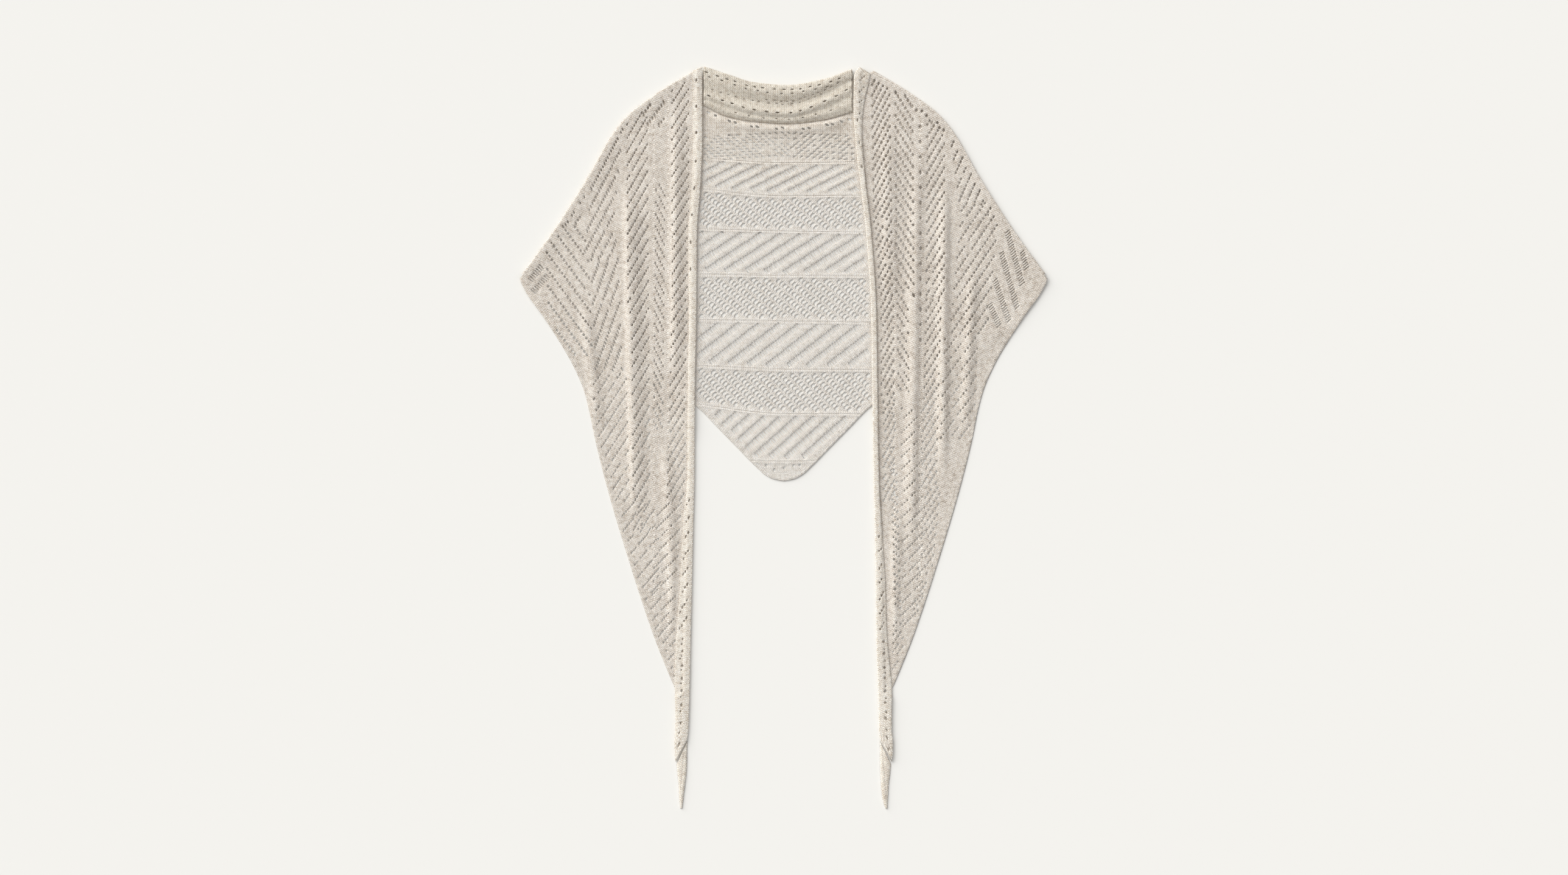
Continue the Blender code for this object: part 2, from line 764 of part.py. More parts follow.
def back_pattern():
    """Returns the back's garter lines, its rib lines and its gaps."""
    garters = []
    for down in [row[0] for row in BANDS] + [BANDS[-1][1]]:
        halves = [h for h in steps(-100.0, 100.0, 25.0)
                  if visible_on_back(Vector((h, LENGTH / 2 - down)), 6.0)]
        garters.append([Vector((h, LENGTH / 2 - down)) for h in halves])
    ribs = []
    gaps = []
    for top, bottom, kind, lean in BANDS:
        middle = (top + bottom) / 2
        slope = math.tan(math.radians(lean))
        if kind == "ladder":
            for line in band_ribs(top, bottom, lean):
                line = [p for p in line if visible_on_back(p, 7.0)]
                if len(line) > 1:
                    ribs.append(line)
            for i in range(-7, 7):
                for down in (middle + 10.0, middle - 8.0):
                    x = RIB_SPACING * (i + 0.5) + (middle - down) / slope
                    centre = Vector((x, LENGTH / 2 - down))
                    if visible_on_back(centre, 12.0):
                        gaps.append(slot(centre, SLOT[0], SLOT[1], -lean))
        else:
            for i in range(-4, 5):
                centre = Vector((RIB_SPACING * i + 9.0, LENGTH / 2 - middle))
                if visible_on_back(centre, 12.0):
                    gaps.append(slot(centre, MESH_CELL[0], MESH_CELL[1], 90.0 - lean))
    return garters, ribs, gaps


def beside(line, offset):
    """Returns a line moved sideways by an offset."""
    moved = []
    for i in range(len(line)):
        along = (line[min(i + 1, len(line) - 1)] - line[max(i - 1, 0)]).normalized()
        moved.append(line[i] + Vector((-along.y, along.x)) * offset)
    return moved


def make_back(name, collection, material):
    """Makes the back: a flat panel with garter lines, ladder ribs and the ridge under the neck."""
    outline = back_outline()
    garters, ribs, gaps = back_pattern()
    lines = []
    for line in garters:
        lines += [beside(line, o) for o in (-GARTER_HALF_WIDTH - 1.2, 0.0, GARTER_HALF_WIDTH + 1.2)]
    for line in ribs:
        lines.append(line)
        lines += [beside(line, o) for o in (-RIB_HALF_WIDTH, RIB_HALF_WIDTH)]
    ridge = []
    for below, _ in RIDGE_BELOW:
        row = [Vector((x, LENGTH / 2 - neck_line["deep crease"](x) - below))
               for x in steps(RIDGE_ENDS[0] + 1.0, RIDGE_ENDS[1] - 1.0, 11.0)]
        ridge.append(row)
    inner_net = net_points(outline, gaps, lines + ridge, *BACK_CELL)
    net = [p for p in inner_net if visible_on_back(p, -8.0) and down_of(p.y) > 60.0]
    hidden = net_points(outline, gaps, lines + ridge, HIDDEN_CELL, HIDDEN_CELL)
    net += [p for p in hidden if not visible_on_back(p, -20.0) or down_of(p.y) < 52.0]

    def height(x, y):
        below = down_of(y) - neck_line["deep crease"](x)
        left, right = RIDGE_ENDS
        ends = ease((x - left) / RIDGE_END_REACH) * ease((right - x) / RIDGE_END_REACH)
        return ends * float(np.interp(below, column(RIDGE_BELOW, 0), column(RIDGE_BELOW, 1)))

    def raised(x, y):
        p = Vector((x, y))
        if not visible_on_back(p, 4.5):
            return 0.0
        rise = 0.0
        for line in garters:
            if len(line) > 1 and nearest_on_line(p, line)[0] < 1.0:
                rise = RIB_RISE
        for line in ribs:
            if nearest_on_line(p, line)[0] < 1.0:
                rise = RIB_RISE
        return rise

    bm = panel_mesh(outline, gaps, net, height, [line for line in lines + ridge if len(line) > 1])
    return cloth(name, bm, material, collection, raised=raised)


def main():
    for old in list(bpy.data.objects):
        bpy.data.objects.remove(old, do_unlink=True)
    collection = bpy.data.collections.new(COLLECTION)
    bpy.context.scene.collection.children.link(collection)
    back = knit_material("back_knit")
    front = knit_material("front_knit")
    neck = knit_material("neck_knit")
    edge = knit_material("edge_knit")
    make_back("back_panel", collection, back)
    make_neck("neck_folds", collection, neck)
    for side, word in ((LEFT, "left"), (RIGHT, "right")):
        make_front(side, word + "_front", collection, front)
        make_edge(side, word + "_edge", collection, edge)
        make_tip(side, word + "_tip", collection, edge)


main()
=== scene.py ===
# %% [markdown]
# # A lace shawl, laid flat
# This lesson dresses the plain solids of a knitted triangle shawl. The shawl lies on a pale surface
# with its two ends folded forward over the slanted shoulder lines. Behind the neck the long edge
# stands in soft folds, and along each front it is rolled over and runs down into a twisted point.
#
# The solids already hold the size and the large folds. Here each of them is replaced by a thin knitted
# shell of the same form, with the lace cut through it as real holes and the stitches as fine relief.

# %% Start from an empty scene and load the solids
import json
import math

import bpy
import numpy as np
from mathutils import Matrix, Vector
from mathutils.geometry import delaunay_2d_cdt
from mathutils.kdtree import KDTree

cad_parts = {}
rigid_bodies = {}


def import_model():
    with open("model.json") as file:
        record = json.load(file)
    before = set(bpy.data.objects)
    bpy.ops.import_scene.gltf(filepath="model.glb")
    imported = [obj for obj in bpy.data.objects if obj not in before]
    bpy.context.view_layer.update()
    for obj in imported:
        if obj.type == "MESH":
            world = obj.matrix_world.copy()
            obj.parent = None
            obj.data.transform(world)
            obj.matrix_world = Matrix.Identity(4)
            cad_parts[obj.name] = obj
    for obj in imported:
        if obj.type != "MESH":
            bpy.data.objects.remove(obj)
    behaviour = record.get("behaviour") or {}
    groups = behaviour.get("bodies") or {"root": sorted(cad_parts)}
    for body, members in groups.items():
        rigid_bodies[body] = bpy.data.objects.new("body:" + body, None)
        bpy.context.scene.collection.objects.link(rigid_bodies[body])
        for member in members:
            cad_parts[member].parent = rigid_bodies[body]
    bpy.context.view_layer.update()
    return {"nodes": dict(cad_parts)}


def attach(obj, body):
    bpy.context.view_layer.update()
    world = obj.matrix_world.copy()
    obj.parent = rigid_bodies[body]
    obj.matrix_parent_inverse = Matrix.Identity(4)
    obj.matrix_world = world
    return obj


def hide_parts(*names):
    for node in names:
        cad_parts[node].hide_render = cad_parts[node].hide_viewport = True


for old in list(bpy.data.objects):
    bpy.data.objects.remove(old, do_unlink=True)
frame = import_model()
print("solids:", sorted(frame["nodes"]))

# %% [markdown]
# ## Sizes of the laid shawl
# All tables are in millimetres, as a knitter would measure the piece on the table. "Down" is the
# distance below the shoulder peaks, and "half" the distance from the middle line, so that left and
# right can share one table. A smooth curve through a short table gives each outline.

# %% Driving sizes
MM = 0.001
LENGTH = 953.0
LEFT = -1
RIGHT = 1
SIDES = ((LEFT, "left"), (RIGHT, "right"))
WALL = 0.8
SOLID_WALL = 1.5
LAYER = SOLID_WALL + 0.4
SEAM = 0.3
BACK_HEM_COSINE = 0.72

SHOULDER = (
    # down, half
    (0.0, 104.0), (10.5, 120.9), (26.1, 147.8), (41.7, 171.2), (57.3, 192.7), (72.9, 208.3),
    (88.5, 220.0), (104.1, 229.7), (135.3, 246.9), (197.7, 285.9), (228.9, 307.3), (268.0, 336.0),
)
HEM = (
    # down, half
    (274.2, 337.6), (280.0, 336.0), (291.3, 330.3), (322.5, 308.1), (353.7, 287.8), (384.9, 269.9),
    (416.1, 256.2), (447.3, 248.0), (478.5, 241.8), (540.9, 226.2), (634.5, 198.5), (728.1, 167.7),
    (774.9, 149.4), (798.0, 139.6),
)
FRONT_EDGE = (
    # down, left half, right half, left strip, right strip
    (0.0, 103.4, 97.5, 13.0, 22.0),
    (15.2, 103.4, 89.3, 13.0, 20.0),
    (51.9, 103.4, 88.5, 13.0, 14.0),
    (94.8, 103.4, 90.9, 12.6, 9.5),
    (156.4, 105.9, 97.9, 12.0, 7.5),
    (218.0, 110.4, 104.9, 11.5, 7.5),
    (318.6, 111.1, 111.2, 10.0, 7.5),
    (419.2, 113.0, 112.7, 9.6, 7.5),
    (526.0, 113.5, 114.3, 9.6, 7.6),
    (585.4, 115.0, 115.8, 13.6, 9.0),
    (660.3, 116.6, 117.0, 15.6, 13.0),
    (725.8, 118.2, 117.8, 18.6, 14.2),
    (775.0, 119.2, 119.4, 20.4, 17.0),
    (799.9, 119.7, 120.0, 19.6, 18.6),
    (829.5, 120.5, 120.9, 17.8, 17.2),
    (855.3, 121.7, 121.5, 15.9, 16.2),
    (867.0, 123.2, 123.2, 14.0, 14.2),
    (899.7, 124.0, 123.5, 10.9, 11.6),
    (938.0, 128.3, 126.0, 5.6, 7.6),
    (953.0, 129.9, 130.2, 2.6, 2.8),
)
BACK_HEM = (
    # half, down
    (0.0, 533.5), (12.0, 531.5), (24.0, 525.5), (36.0, 514.5), (60.0, 490.0), (85.0, 464.5),
    (108.0, 441.0), (200.0, 372.0), (290.0, 306.0), (330.0, 277.0),
)


# %% Curves through the tables
def smooth_curve(places, values):
    """Returns a curve through the table's points that never overshoots them."""
    x = np.array(places, float)
    y = np.array(values, float)
    step = np.diff(x)
    rise = np.diff(y) / step
    slope = np.zeros(len(x))
    slope[0], slope[-1] = rise[0], rise[-1]
    for i in range(1, len(x) - 1):
        if rise[i - 1] * rise[i] > 0:
            slope[i] = 2 * rise[i - 1] * rise[i] / (rise[i - 1] + rise[i])

    def at(where):
        where = np.clip(np.asarray(where, float), x[0], x[-1])
        i = np.clip(np.searchsorted(x, where, side="right") - 1, 0, len(step) - 1)
        t = (where - x[i]) / step[i]
        start = (1 + 2 * t) * (1 - t) ** 2 * y[i] + t * (1 - t) ** 2 * step[i] * slope[i]
        return start + t * t * (3 - 2 * t) * y[i + 1] + t * t * (t - 1) * step[i] * slope[i + 1]

    return at


def curve_of(table, index=1):
    """Returns the curve from the first column of a table to another of its columns."""
    return smooth_curve([row[0] for row in table], [row[index] for row in table])


def ease(t):
    """Returns a smooth step from 0 to 1."""
    t = np.clip(t, 0.0, 1.0)
    return t * t * (3 - 2 * t)


shoulder_half, hem_half, back_hem = curve_of(SHOULDER), curve_of(HEM), curve_of(BACK_HEM)
edge_half = {LEFT: curve_of(FRONT_EDGE, 1), RIGHT: curve_of(FRONT_EDGE, 2)}
strip_width = {LEFT: curve_of(FRONT_EDGE, 3), RIGHT: curve_of(FRONT_EDGE, 4)}
print("width across the side corners:", 2 * max(half for _, half in HEM), "mm")


# %% Places on the table
def place(side, half, down):
    """Returns the points (x, y) of some half widths and distances down, on one side."""
    half, down = np.broadcast_arrays(np.asarray(half, float), np.asarray(down, float))
    return np.stack([side * half, LENGTH / 2 - down], axis=-1)


def down_of(points):
    """Returns how far each point is below the shoulder peaks."""
    return LENGTH / 2 - points[:, 1]


def inside_hem(points):
    """Returns how far inside the hem of the back each point lies, square to the hem."""
    return (back_hem(abs(points[:, 0])) - down_of(points)) * BACK_HEM_COSINE


def steps(start, end, size):
    """Returns evenly spaced values from start to end, about size apart."""
    return np.linspace(start, end, max(1, round(abs(end - start) / size)) + 1)


def distance_to(points, line):
    """Returns how far each point is from a chain of points."""
    best = np.full(len(points), 1e9)
    for a, b in zip(line[:-1], line[1:]):
        along = b - a
        t = np.clip((points - a) @ along / (along @ along), 0, 1)
        best = np.minimum(best, np.linalg.norm(points - a - t[:, None] * along, axis=1))
    return best


def inside(points, loop):
    """Says which points lie inside a closed loop."""
    crossings = np.zeros(len(points), int)
    for a, b in zip(loop, np.roll(loop, -1, axis=0)):
        between = (a[1] > points[:, 1]) != (b[1] > points[:, 1])
        if between.any():
            rise = np.where(between, (points[:, 1] - a[1]) / (b[1] - a[1] + 1e-12), 0.0)
            crossings += between & (a[0] + rise * (b[0] - a[0]) > points[:, 0])
    return crossings % 2 == 1


def clear_of(points, loop, gap):
    """Says which points lie inside a loop and at least a gap from it."""
    return inside(points, loop) & (distance_to(points, np.vstack([loop, loop[:1]])) >= gap)


def outward_normals(line, side):
    """Returns the normal at each point of a chain, on the side away from the middle line."""
    along = np.gradient(line, axis=0)
    normals = np.stack([-along[:, 1], along[:, 0]], axis=1)
    normals /= np.linalg.norm(normals, axis=1)[:, None]
    return normals * np.sign(normals[:, :1] * side)


# %% [markdown]
# ## How high each front lies
# A front lies on the back, comes down to the table past the hem of the back, and rises where the
# cloth turns under at the shoulder. Long soft folds run down it, steeper on one flank than on the
# other. Folds can come from a cloth simulation or from a formula. The formula keeps each fold where
# it is on the real piece, so a short table holds one row for each fold.

# %% Heights of the fronts
FOLD_INSET = 2.7
FOLD_RISE = 3.9
FOLD_RISE_REACH = 22.0
SHOULDER_TOP = 7.0
STEP_START = 18.0
STEP_END = 44.0
HEM_COSINE = 0.8
FOLD_FADE = 0.22
FOLDS = (
    # side, top down, top half, bottom down, bottom half, height, inner flank, outer flank
    (LEFT, 30.0, 138.0, 420.0, 140.0, 5.0, 16.0, 8.0),
    (LEFT, 120.0, 201.0, 600.0, 190.0, 6.0, 20.0, 9.0),
    (LEFT, 300.0, 256.0, 470.0, 236.0, 4.0, 12.0, 12.0),
    (LEFT, 470.0, 152.0, 760.0, 137.0, 3.5, 11.0, 12.0),
    (RIGHT, 60.0, 132.0, 330.0, 136.0, 3.6, 12.0, 14.0),
    (RIGHT, 80.0, 172.0, 650.0, 163.0, 5.0, 14.0, 10.0),
    (RIGHT, 130.0, 206.0, 540.0, 204.0, 6.0, 12.0, 9.0),
    (RIGHT, 250.0, 243.0, 480.0, 232.0, 4.0, 11.0, 10.0),
    (RIGHT, 560.0, 146.0, 765.0, 138.0, 3.0, 11.0, 11.0),
)


def shoulder_line(side, inset, first_down, size):
    """Returns the shoulder outline moved in by an inset, from its top to the side corner."""
    downs = steps(first_down, SHOULDER[-1][0], size)
    line = place(side, shoulder_half(downs), downs)
    return line - outward_normals(line, side) * inset


fold_chain = {side: shoulder_line(side, FOLD_INSET, SHOULDER_TOP, 4.0) for side in (LEFT, RIGHT)}


def resting_height(side, points):
    """Returns the height of a front's underside, before its long folds."""
    down = down_of(points)
    past_hem = (down - back_hem(abs(points[:, 0]))) * HEM_COSINE
    height = LAYER * (1 - ease((past_hem - STEP_START) / (STEP_END - STEP_START)))
    from_fold = distance_to(points, fold_chain[side])
    return height + (FOLD_RISE - height) * ease(1 - from_fold / FOLD_RISE_REACH)


def fold_height(side, points):
    """Returns how far the long folds lift a front at each point."""
    down = down_of(points)
    half = abs(points[:, 0])
    lift = np.zeros(len(points))
    for fold_side, top, top_half, bottom, bottom_half, height, inner, outer in FOLDS:
        if fold_side != side:
            continue
        t = (down - top) / (bottom - top)
        across = half - (top_half + (bottom_half - top_half) * t)
        flank = np.where(across < 0, inner, outer)
        ends = ease(t / FOLD_FADE) * ease((1 - t) / FOLD_FADE)
        lift = np.maximum(lift, height * ends * ease(1 - abs(across) / flank))
    return lift * ease((half - edge_half[side](down) - strip_width[side](down) - 1.5) / 10.0)


print("shoulder fold:", len(fold_chain[LEFT]), "points on each side")

# %% [markdown]
# ## Lace is a sheet with holes
# Each hole of real lace is a yarn-over, a stitch made out of nothing. One hole for each yarn-over is
# laid out flat first, as a closed loop of six points. A constrained triangulation then fills the
# cloth around all of the loops at once and leaves them open. A picture of holes would be flat from
# the side, and cutting them out with booleans would take minutes. This takes a few seconds.

# %% Shapes of the holes
LACE_SEED = 7
HOLE_CORE = 1.6
RIM_GAP = 0.9
LINE_GAP = 0.45
HAND_UNEVEN = 0.28
EYELET_FORM = np.array([(0, 0.5), (-0.42, 0.2), (-0.5, -0.2), (0, -0.5), (0.5, -0.2), (0.42, 0.2)])
SLOT_FORM = np.array([(0, 0.5), (-0.5, 0.4), (-0.5, -0.4), (0, -0.5), (0.5, -0.4), (0.5, 0.4)])
random = np.random.default_rng(LACE_SEED)


def holes_at(centres, wide, long, lean, form=EYELET_FORM, uneven=0.14):
    """Returns one loop for each centre. Lean is in degrees from upright, to the right."""
    centres = np.asarray(centres, float).reshape(-1, 2)
    count = len(centres)
    size = 1 + uneven * random.uniform(-1, 1, (count, 2))
    turn = np.radians(lean) + 0.1 * random.uniform(-1, 1, count)
    up = np.stack([np.sin(turn), np.cos(turn)], axis=1)
    right = np.stack([up[:, 1], -up[:, 0]], axis=1)
    across = form[:, 0] * wide * size[:, :1]
    along = form[:, 1] * long * size[:, 1:]
    return centres[:, None] + across[..., None] * right[:, None] + along[..., None] * up[:, None]


def listed_holes(table, hole):
    """Returns a hole at each place of a table, of one width, length and lean."""
    x, down = np.array(table).T
    return holes_at(place(RIGHT, x, down), *hole)


def far_apart(holes, gap):
    """Keeps the holes whose middles are at least a gap from each one kept before."""
    middles = holes.mean(axis=1)
    kept = []
    for i, middle in enumerate(middles):
        if not kept or np.min(np.linalg.norm(middles[kept] - middle, axis=1)) >= gap:
            kept.append(i)
    return holes[kept]


# %% Filling the cloth around the holes
def nearest_distance(points, targets):
    """Returns how far each point is from the nearest of some targets."""
    tree = KDTree(len(targets))
    for i, (x, y) in enumerate(targets):
        tree.insert((x, y, 0.0), i)
    tree.balance()
    return np.array([tree.find((x, y, 0.0))[2] for x, y in points])


def net_in(outline, holes, cell, lines=(), rim_gap=RIM_GAP):
    """Returns a net of points inside an outline and clear of its holes and lines."""
    low, high = outline.min(axis=0), outline.max(axis=0)
    rows = np.arange(low[1], high[1], cell * 0.87)
    across = np.arange(low[0] - cell, high[0], cell)
    net = np.array([(x + (j % 2) * cell / 2, y) for j, y in enumerate(rows) for x in across])
    net = net[clear_of(net, outline, cell * LINE_GAP)]
    for line in lines:
        net = net[distance_to(net, line) > cell * LINE_GAP]
    net = net[nearest_distance(net, holes.reshape(-1, 2)) > rim_gap]
    return net[nearest_distance(net, holes.mean(axis=1)) > HOLE_CORE]


def turns_left(loop):
    """Says whether a closed loop runs anticlockwise."""
    x, y = loop[:, 0], loop[:, 1]
    return np.sum(x * np.roll(y, -1) - y * np.roll(x, -1)) > 0


def fill(outline, holes, net, lines=()):
    """Returns the points and triangles of a flat panel, with its holes left open.

    The triangulation wants every loop anticlockwise, the outline and the holes alike.
    """
    points = [Vector(p) for p in outline]
    edges = [(i, (i + 1) % len(outline)) for i in range(len(outline))]
    ring = list(range(len(outline)))
    faces = [ring if turns_left(outline) else ring[::-1]]
    for hole in holes:
        ring = list(range(len(points), len(points) + len(hole)))
        edges += list(zip(ring, ring[1:] + ring[:1]))
        faces.append(ring)
        points += [Vector(p) for p in hole]
    for line in lines:
        first = len(points)
        edges += [(first + i, first + i + 1) for i in range(len(line) - 1)]
        points += [Vector(p) for p in line]
    points += [Vector(p) for p in net]
    made, _, triangles, sources, _, owners = delaunay_2d_cdt(points, edges, faces, 1, 1e-4)
    kept = [t for t, owner in zip(triangles, owners) if owner == [0]]
    made_from = {s: i for i, source in enumerate(sources) for s in source}
    flat = np.array([(p.x, p.y) for p in made])
    a, b, c = (flat[[t[k] for t in kept]] for k in range(3))
    (ux, uy), (vx, vy) = (b - a).T, (c - a).T
    clockwise = ux * vy - uy * vx < 0
    kept = [t[::-1] if flip else t for t, flip in zip(kept, clockwise)]
    return flat, kept, made_from


# %% [markdown]
# ## Mercerised cotton and viscose yarn, knitted
# The yarn is a fine cotton and viscose blend, spun smooth and knitted loosely on a machine. It has a
# soft, matt surface with a faint gloss on each loop, and no fluff. Every stitch is a V of two yarn
# strands 2.8 mm wide. The V is drawn by a few sums on the two stitch coordinates that each face
# corner carries, so it follows the knitting as it turns from band to band. It drives both the
# bump and a painted shade, a darker tone between the strands. Noise at three sizes, grain, speckle
# and cloud, keeps the tone uneven, and a weak painted glow in the yarn's own colour stands in for
# the light that thin knitting lets through.

# %% Colours and the node helper
STITCH_WIDE = 2.8
STITCH_TALL = 2.3
UNEVEN_MM = 7.0
UNEVEN_BY = 1.1
LOOP_LEAN = 0.62
GRAIN_MM = 1.4
SPECKLE_MM = 4.5
CLOUD_MM = 60.0
GRAIN_BY = 0.7
SPECKLE_BY = 1.1
CLOUD_BY = 0.3
TONE_START = -0.82
# Strength of the weak painted glow that the yarn and the paper give off in their own colour.
PAINTED_GLOW = 0.07
WARM_FROM = 0.29
WARM_TO = 0.4


def linear(hex_colour):
    """Returns an sRGB hex colour as the linear values that Blender works in."""
    parts = [int(hex_colour[i:i + 2], 16) / 255 for i in (1, 3, 5)]
    return tuple(c / 12.92 if c <= 0.04045 else ((c + 0.055) / 1.055) ** 2.4 for c in parts)


def add_node(tree, kind, links=None, **settings):
    """Adds a node, sets its properties and input values, and links its inputs."""
    node = tree.nodes.new(kind)
    for name, value in settings.items():
        if hasattr(node, name):
            setattr(node, name, value)
        else:
            node.inputs[name.replace("_", " ")].default_value = value
    for socket, source in (links or {}).items():
        tree.links.new(source, node.inputs[socket])
    return node


def sum_of(tree, operation, *values):
    """Adds a math node on sockets or plain numbers and returns its result."""
    node = tree.nodes.new("ShaderNodeMath")
    node.operation = operation
    for i, value in enumerate(values):
        if isinstance(value, (int, float)):
            node.inputs[i].default_value = value
        else:
            tree.links.new(value, node.inputs[i])
    return node.outputs[0]


# %% The knitted yarn material
def uneven_stitches(tree, stitches, where):
    """Shifts the stitch coordinates a little from place to place, as hand tension does."""
    drift = noise(tree, where, UNEVEN_MM)
    middle = add_node(tree, "ShaderNodeVectorMath", {0: drift.outputs["Color"]}, operation="SUBTRACT")
    middle.inputs[1].default_value = (0.5, 0.5, 0.5)
    moved = add_node(tree, "ShaderNodeVectorMath", {0: middle.outputs[0], 2: stitches},
                     operation="MULTIPLY_ADD")
    moved.inputs[1].default_value = (UNEVEN_BY,) * 3
    return moved.outputs[0]


def stitch_height(tree, stitches):
    """Returns the height of the knitted loops, from 0 between strands to 1 on top of them."""
    place_in = add_node(tree, "ShaderNodeSeparateXYZ", {"Vector": stitches})
    across = sum_of(tree, "DIVIDE", place_in.outputs["X"], STITCH_WIDE)
    along = sum_of(tree, "DIVIDE", place_in.outputs["Y"], STITCH_TALL)
    in_column = sum_of(tree, "FRACT", across)
    from_middle = sum_of(tree, "ABSOLUTE", sum_of(tree, "SUBTRACT", in_column, 0.5))
    from_middle = sum_of(tree, "MULTIPLY", from_middle, 2.0)
    leaning = sum_of(tree, "MULTIPLY_ADD", from_middle, LOOP_LEAN, along)
    wave = sum_of(tree, "ABSOLUTE", sum_of(tree, "SINE", sum_of(tree, "MULTIPLY", leaning, math.pi)))
    strand = sum_of(tree, "POWER", wave, 0.7)
    from_leg = sum_of(tree, "SUBTRACT", from_middle, 0.5)
    leg = sum_of(tree, "MULTIPLY", sum_of(tree, "MULTIPLY", from_leg, from_leg), -3.2)
    leg = sum_of(tree, "ADD", leg, 1.0)
    return sum_of(tree, "MULTIPLY", strand, leg)


def set_inputs(node, **values):
    """Sets input values of a node by their names, with _ for each space."""
    for name, value in values.items():
        node.inputs[name.replace("_", " ")].default_value = value


def mixed(tree, share, first, second):
    """Mixes two colours, each a hex colour or a socket, by a share from 0 to 1."""
    mix = add_node(tree, "ShaderNodeMix", {0: share}, data_type="RGBA")
    for place_in, colour in ((6, first), (7, second)):
        if isinstance(colour, str):
            mix.inputs[place_in].default_value = (*linear(colour), 1.0)
        else:
            tree.links.new(colour, mix.inputs[place_in])
    return mix.outputs[2]


def noise(tree, where, size_mm, detail=1.0):
    """Adds a noise of about some millimetres."""
    return add_node(tree, "ShaderNodeTexNoise", {"Vector": where}, Scale=1000 / size_mm, Detail=detail)


def knitted_yarn(name, light, shade, warm=None):
    """Makes the knitted cotton and viscose material in a lit and a shaded tone.

    A second pair of tones can be given for the part of the cloth near the neck.
    """
    material = bpy.data.materials.new(name)
    material.use_nodes = True
    tree = material.node_tree
    shader = tree.nodes["Principled BSDF"]
    set_inputs(shader, Roughness=0.82, Specular_IOR_Level=0.35, Sheen_Weight=0.12, Sheen_Roughness=0.5,
               Subsurface_Weight=0.4, Subsurface_Radius=(1.0, 0.92, 0.82), Subsurface_Scale=0.0018,
               Emission_Strength=PAINTED_GLOW)
    where = add_node(tree, "ShaderNodeTexCoord").outputs["Object"]
    stitches = add_node(tree, "ShaderNodeAttribute", attribute_name="stitches").outputs["Vector"]
    height = stitch_height(tree, uneven_stitches(tree, stitches, where))
    grain = noise(tree, where, GRAIN_MM, detail=2.0)
    # The stitch height mixes in the shade colour as painted shade between the strands; the noise adds the
    # yarn's own uneven tone.
    tone = sum_of(tree, "MULTIPLY_ADD", height, 1.0, TONE_START)
    speckle, cloud = noise(tree, where, SPECKLE_MM), noise(tree, where, CLOUD_MM)
    for part, share in ((speckle, SPECKLE_BY), (grain, GRAIN_BY), (cloud, CLOUD_BY)):
        tone = sum_of(tree, "MULTIPLY_ADD", part.outputs["Fac"], share, tone)
    colour = mixed(tree, tone, shade, light)
    if warm:
        up = add_node(tree, "ShaderNodeSeparateXYZ", {"Vector": where}).outputs["Y"]
        near_neck = add_node(tree, "ShaderNodeMapRange", {"Value": up},
                             From_Min=WARM_FROM, From_Max=WARM_TO)
        warm_light, warm_shade = warm
        colour = mixed(tree, near_neck.outputs["Result"], colour, mixed(tree, tone, warm_shade, warm_light))
    tree.links.new(colour, shader.inputs["Base Color"])
    # The yarn glows weakly in its own colour: a painted glow.
    tree.links.new(colour, shader.inputs["Emission Color"])
    relief = sum_of(tree, "MULTIPLY_ADD", grain.outputs["Fac"], 0.3, height)
    bump = add_node(tree, "ShaderNodeBump", {"Height": relief}, Strength=0.9, Distance=0.0008)
    tree.links.new(bump.outputs["Normal"], shader.inputs["Normal"])
    return material


front_yarn = knitted_yarn("cotton_knit_fronts", "#f8efe4", "#948574")
edge_yarn = knitted_yarn("cotton_knit_edges", "#fef6ea", "#ab9b88")
neck_yarn = knitted_yarn("cotton_knit_neck", "#f0e8da", "#948470")
back_yarn = knitted_yarn("cotton_knit_back", "#f5efe7", "#c1b7ab", ("#f9f0e4", "#9f8f7d"))
print("materials:", [m.name for m in bpy.data.materials])


# %% [markdown]
# ## From flat cloth to a piece
# Every piece is made in the same way. It is filled flat with its holes, each point is lifted to its
# height or rolled round its bend, and a Solidify modifier gives the cloth its wall. The stitch
# coordinates are stored for each face corner, because two bands of knitting can meet at a line.

# %% Building a piece
def add_object(name, data):
    """Adds an object to the scene."""
    made = bpy.data.objects.new(name, data)
    bpy.context.scene.collection.objects.link(made)
    return made


def knit_piece(name, flat, solid, faces, stitches_of, material):
    """Makes a piece of cloth from its flat points, their places in space and its faces."""
    mesh = bpy.data.meshes.new(name)
    mesh.from_pydata((solid * MM).tolist(), [], [list(f) for f in faces])
    mesh.shade_smooth()
    mesh.materials.append(material)
    corners = np.array([v for f in faces for v in f])
    sizes = np.array([len(f) for f in faces])
    starts = np.concatenate([[0], np.cumsum(sizes)[:-1]])
    middles = np.add.reduceat(flat[corners], starts, axis=0) / sizes[:, None]
    stitches = np.zeros((len(corners), 3))
    stitches[:, :2] = stitches_of(flat[corners], np.repeat(middles, sizes, axis=0))
    attribute = mesh.attributes.new("stitches", "FLOAT_VECTOR", "CORNER")
    attribute.data.foreach_set("vector", stitches.ravel())
    piece = add_object(name, mesh)
    wall = piece.modifiers.new("wall", "SOLIDIFY")
    wall.offset = 1.0
    wall.thickness = WALL * MM
    wall.use_quality_normals = True
    return piece


def loop_area(loop):
    """Returns the area of a closed loop in square metres."""
    x, y = loop[:, 0], loop[:, 1]
    return abs(np.sum(x * np.roll(y, -1) - y * np.roll(x, -1))) / 2 * MM * MM


def lay(piece, node, cloth, outline):
    """Lets a piece stand for its solid. It works out the area of the outline but keeps it nowhere, and the
    cloth is not used.
    """
    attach(piece, "root")
    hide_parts(node)
    loop_area(outline)


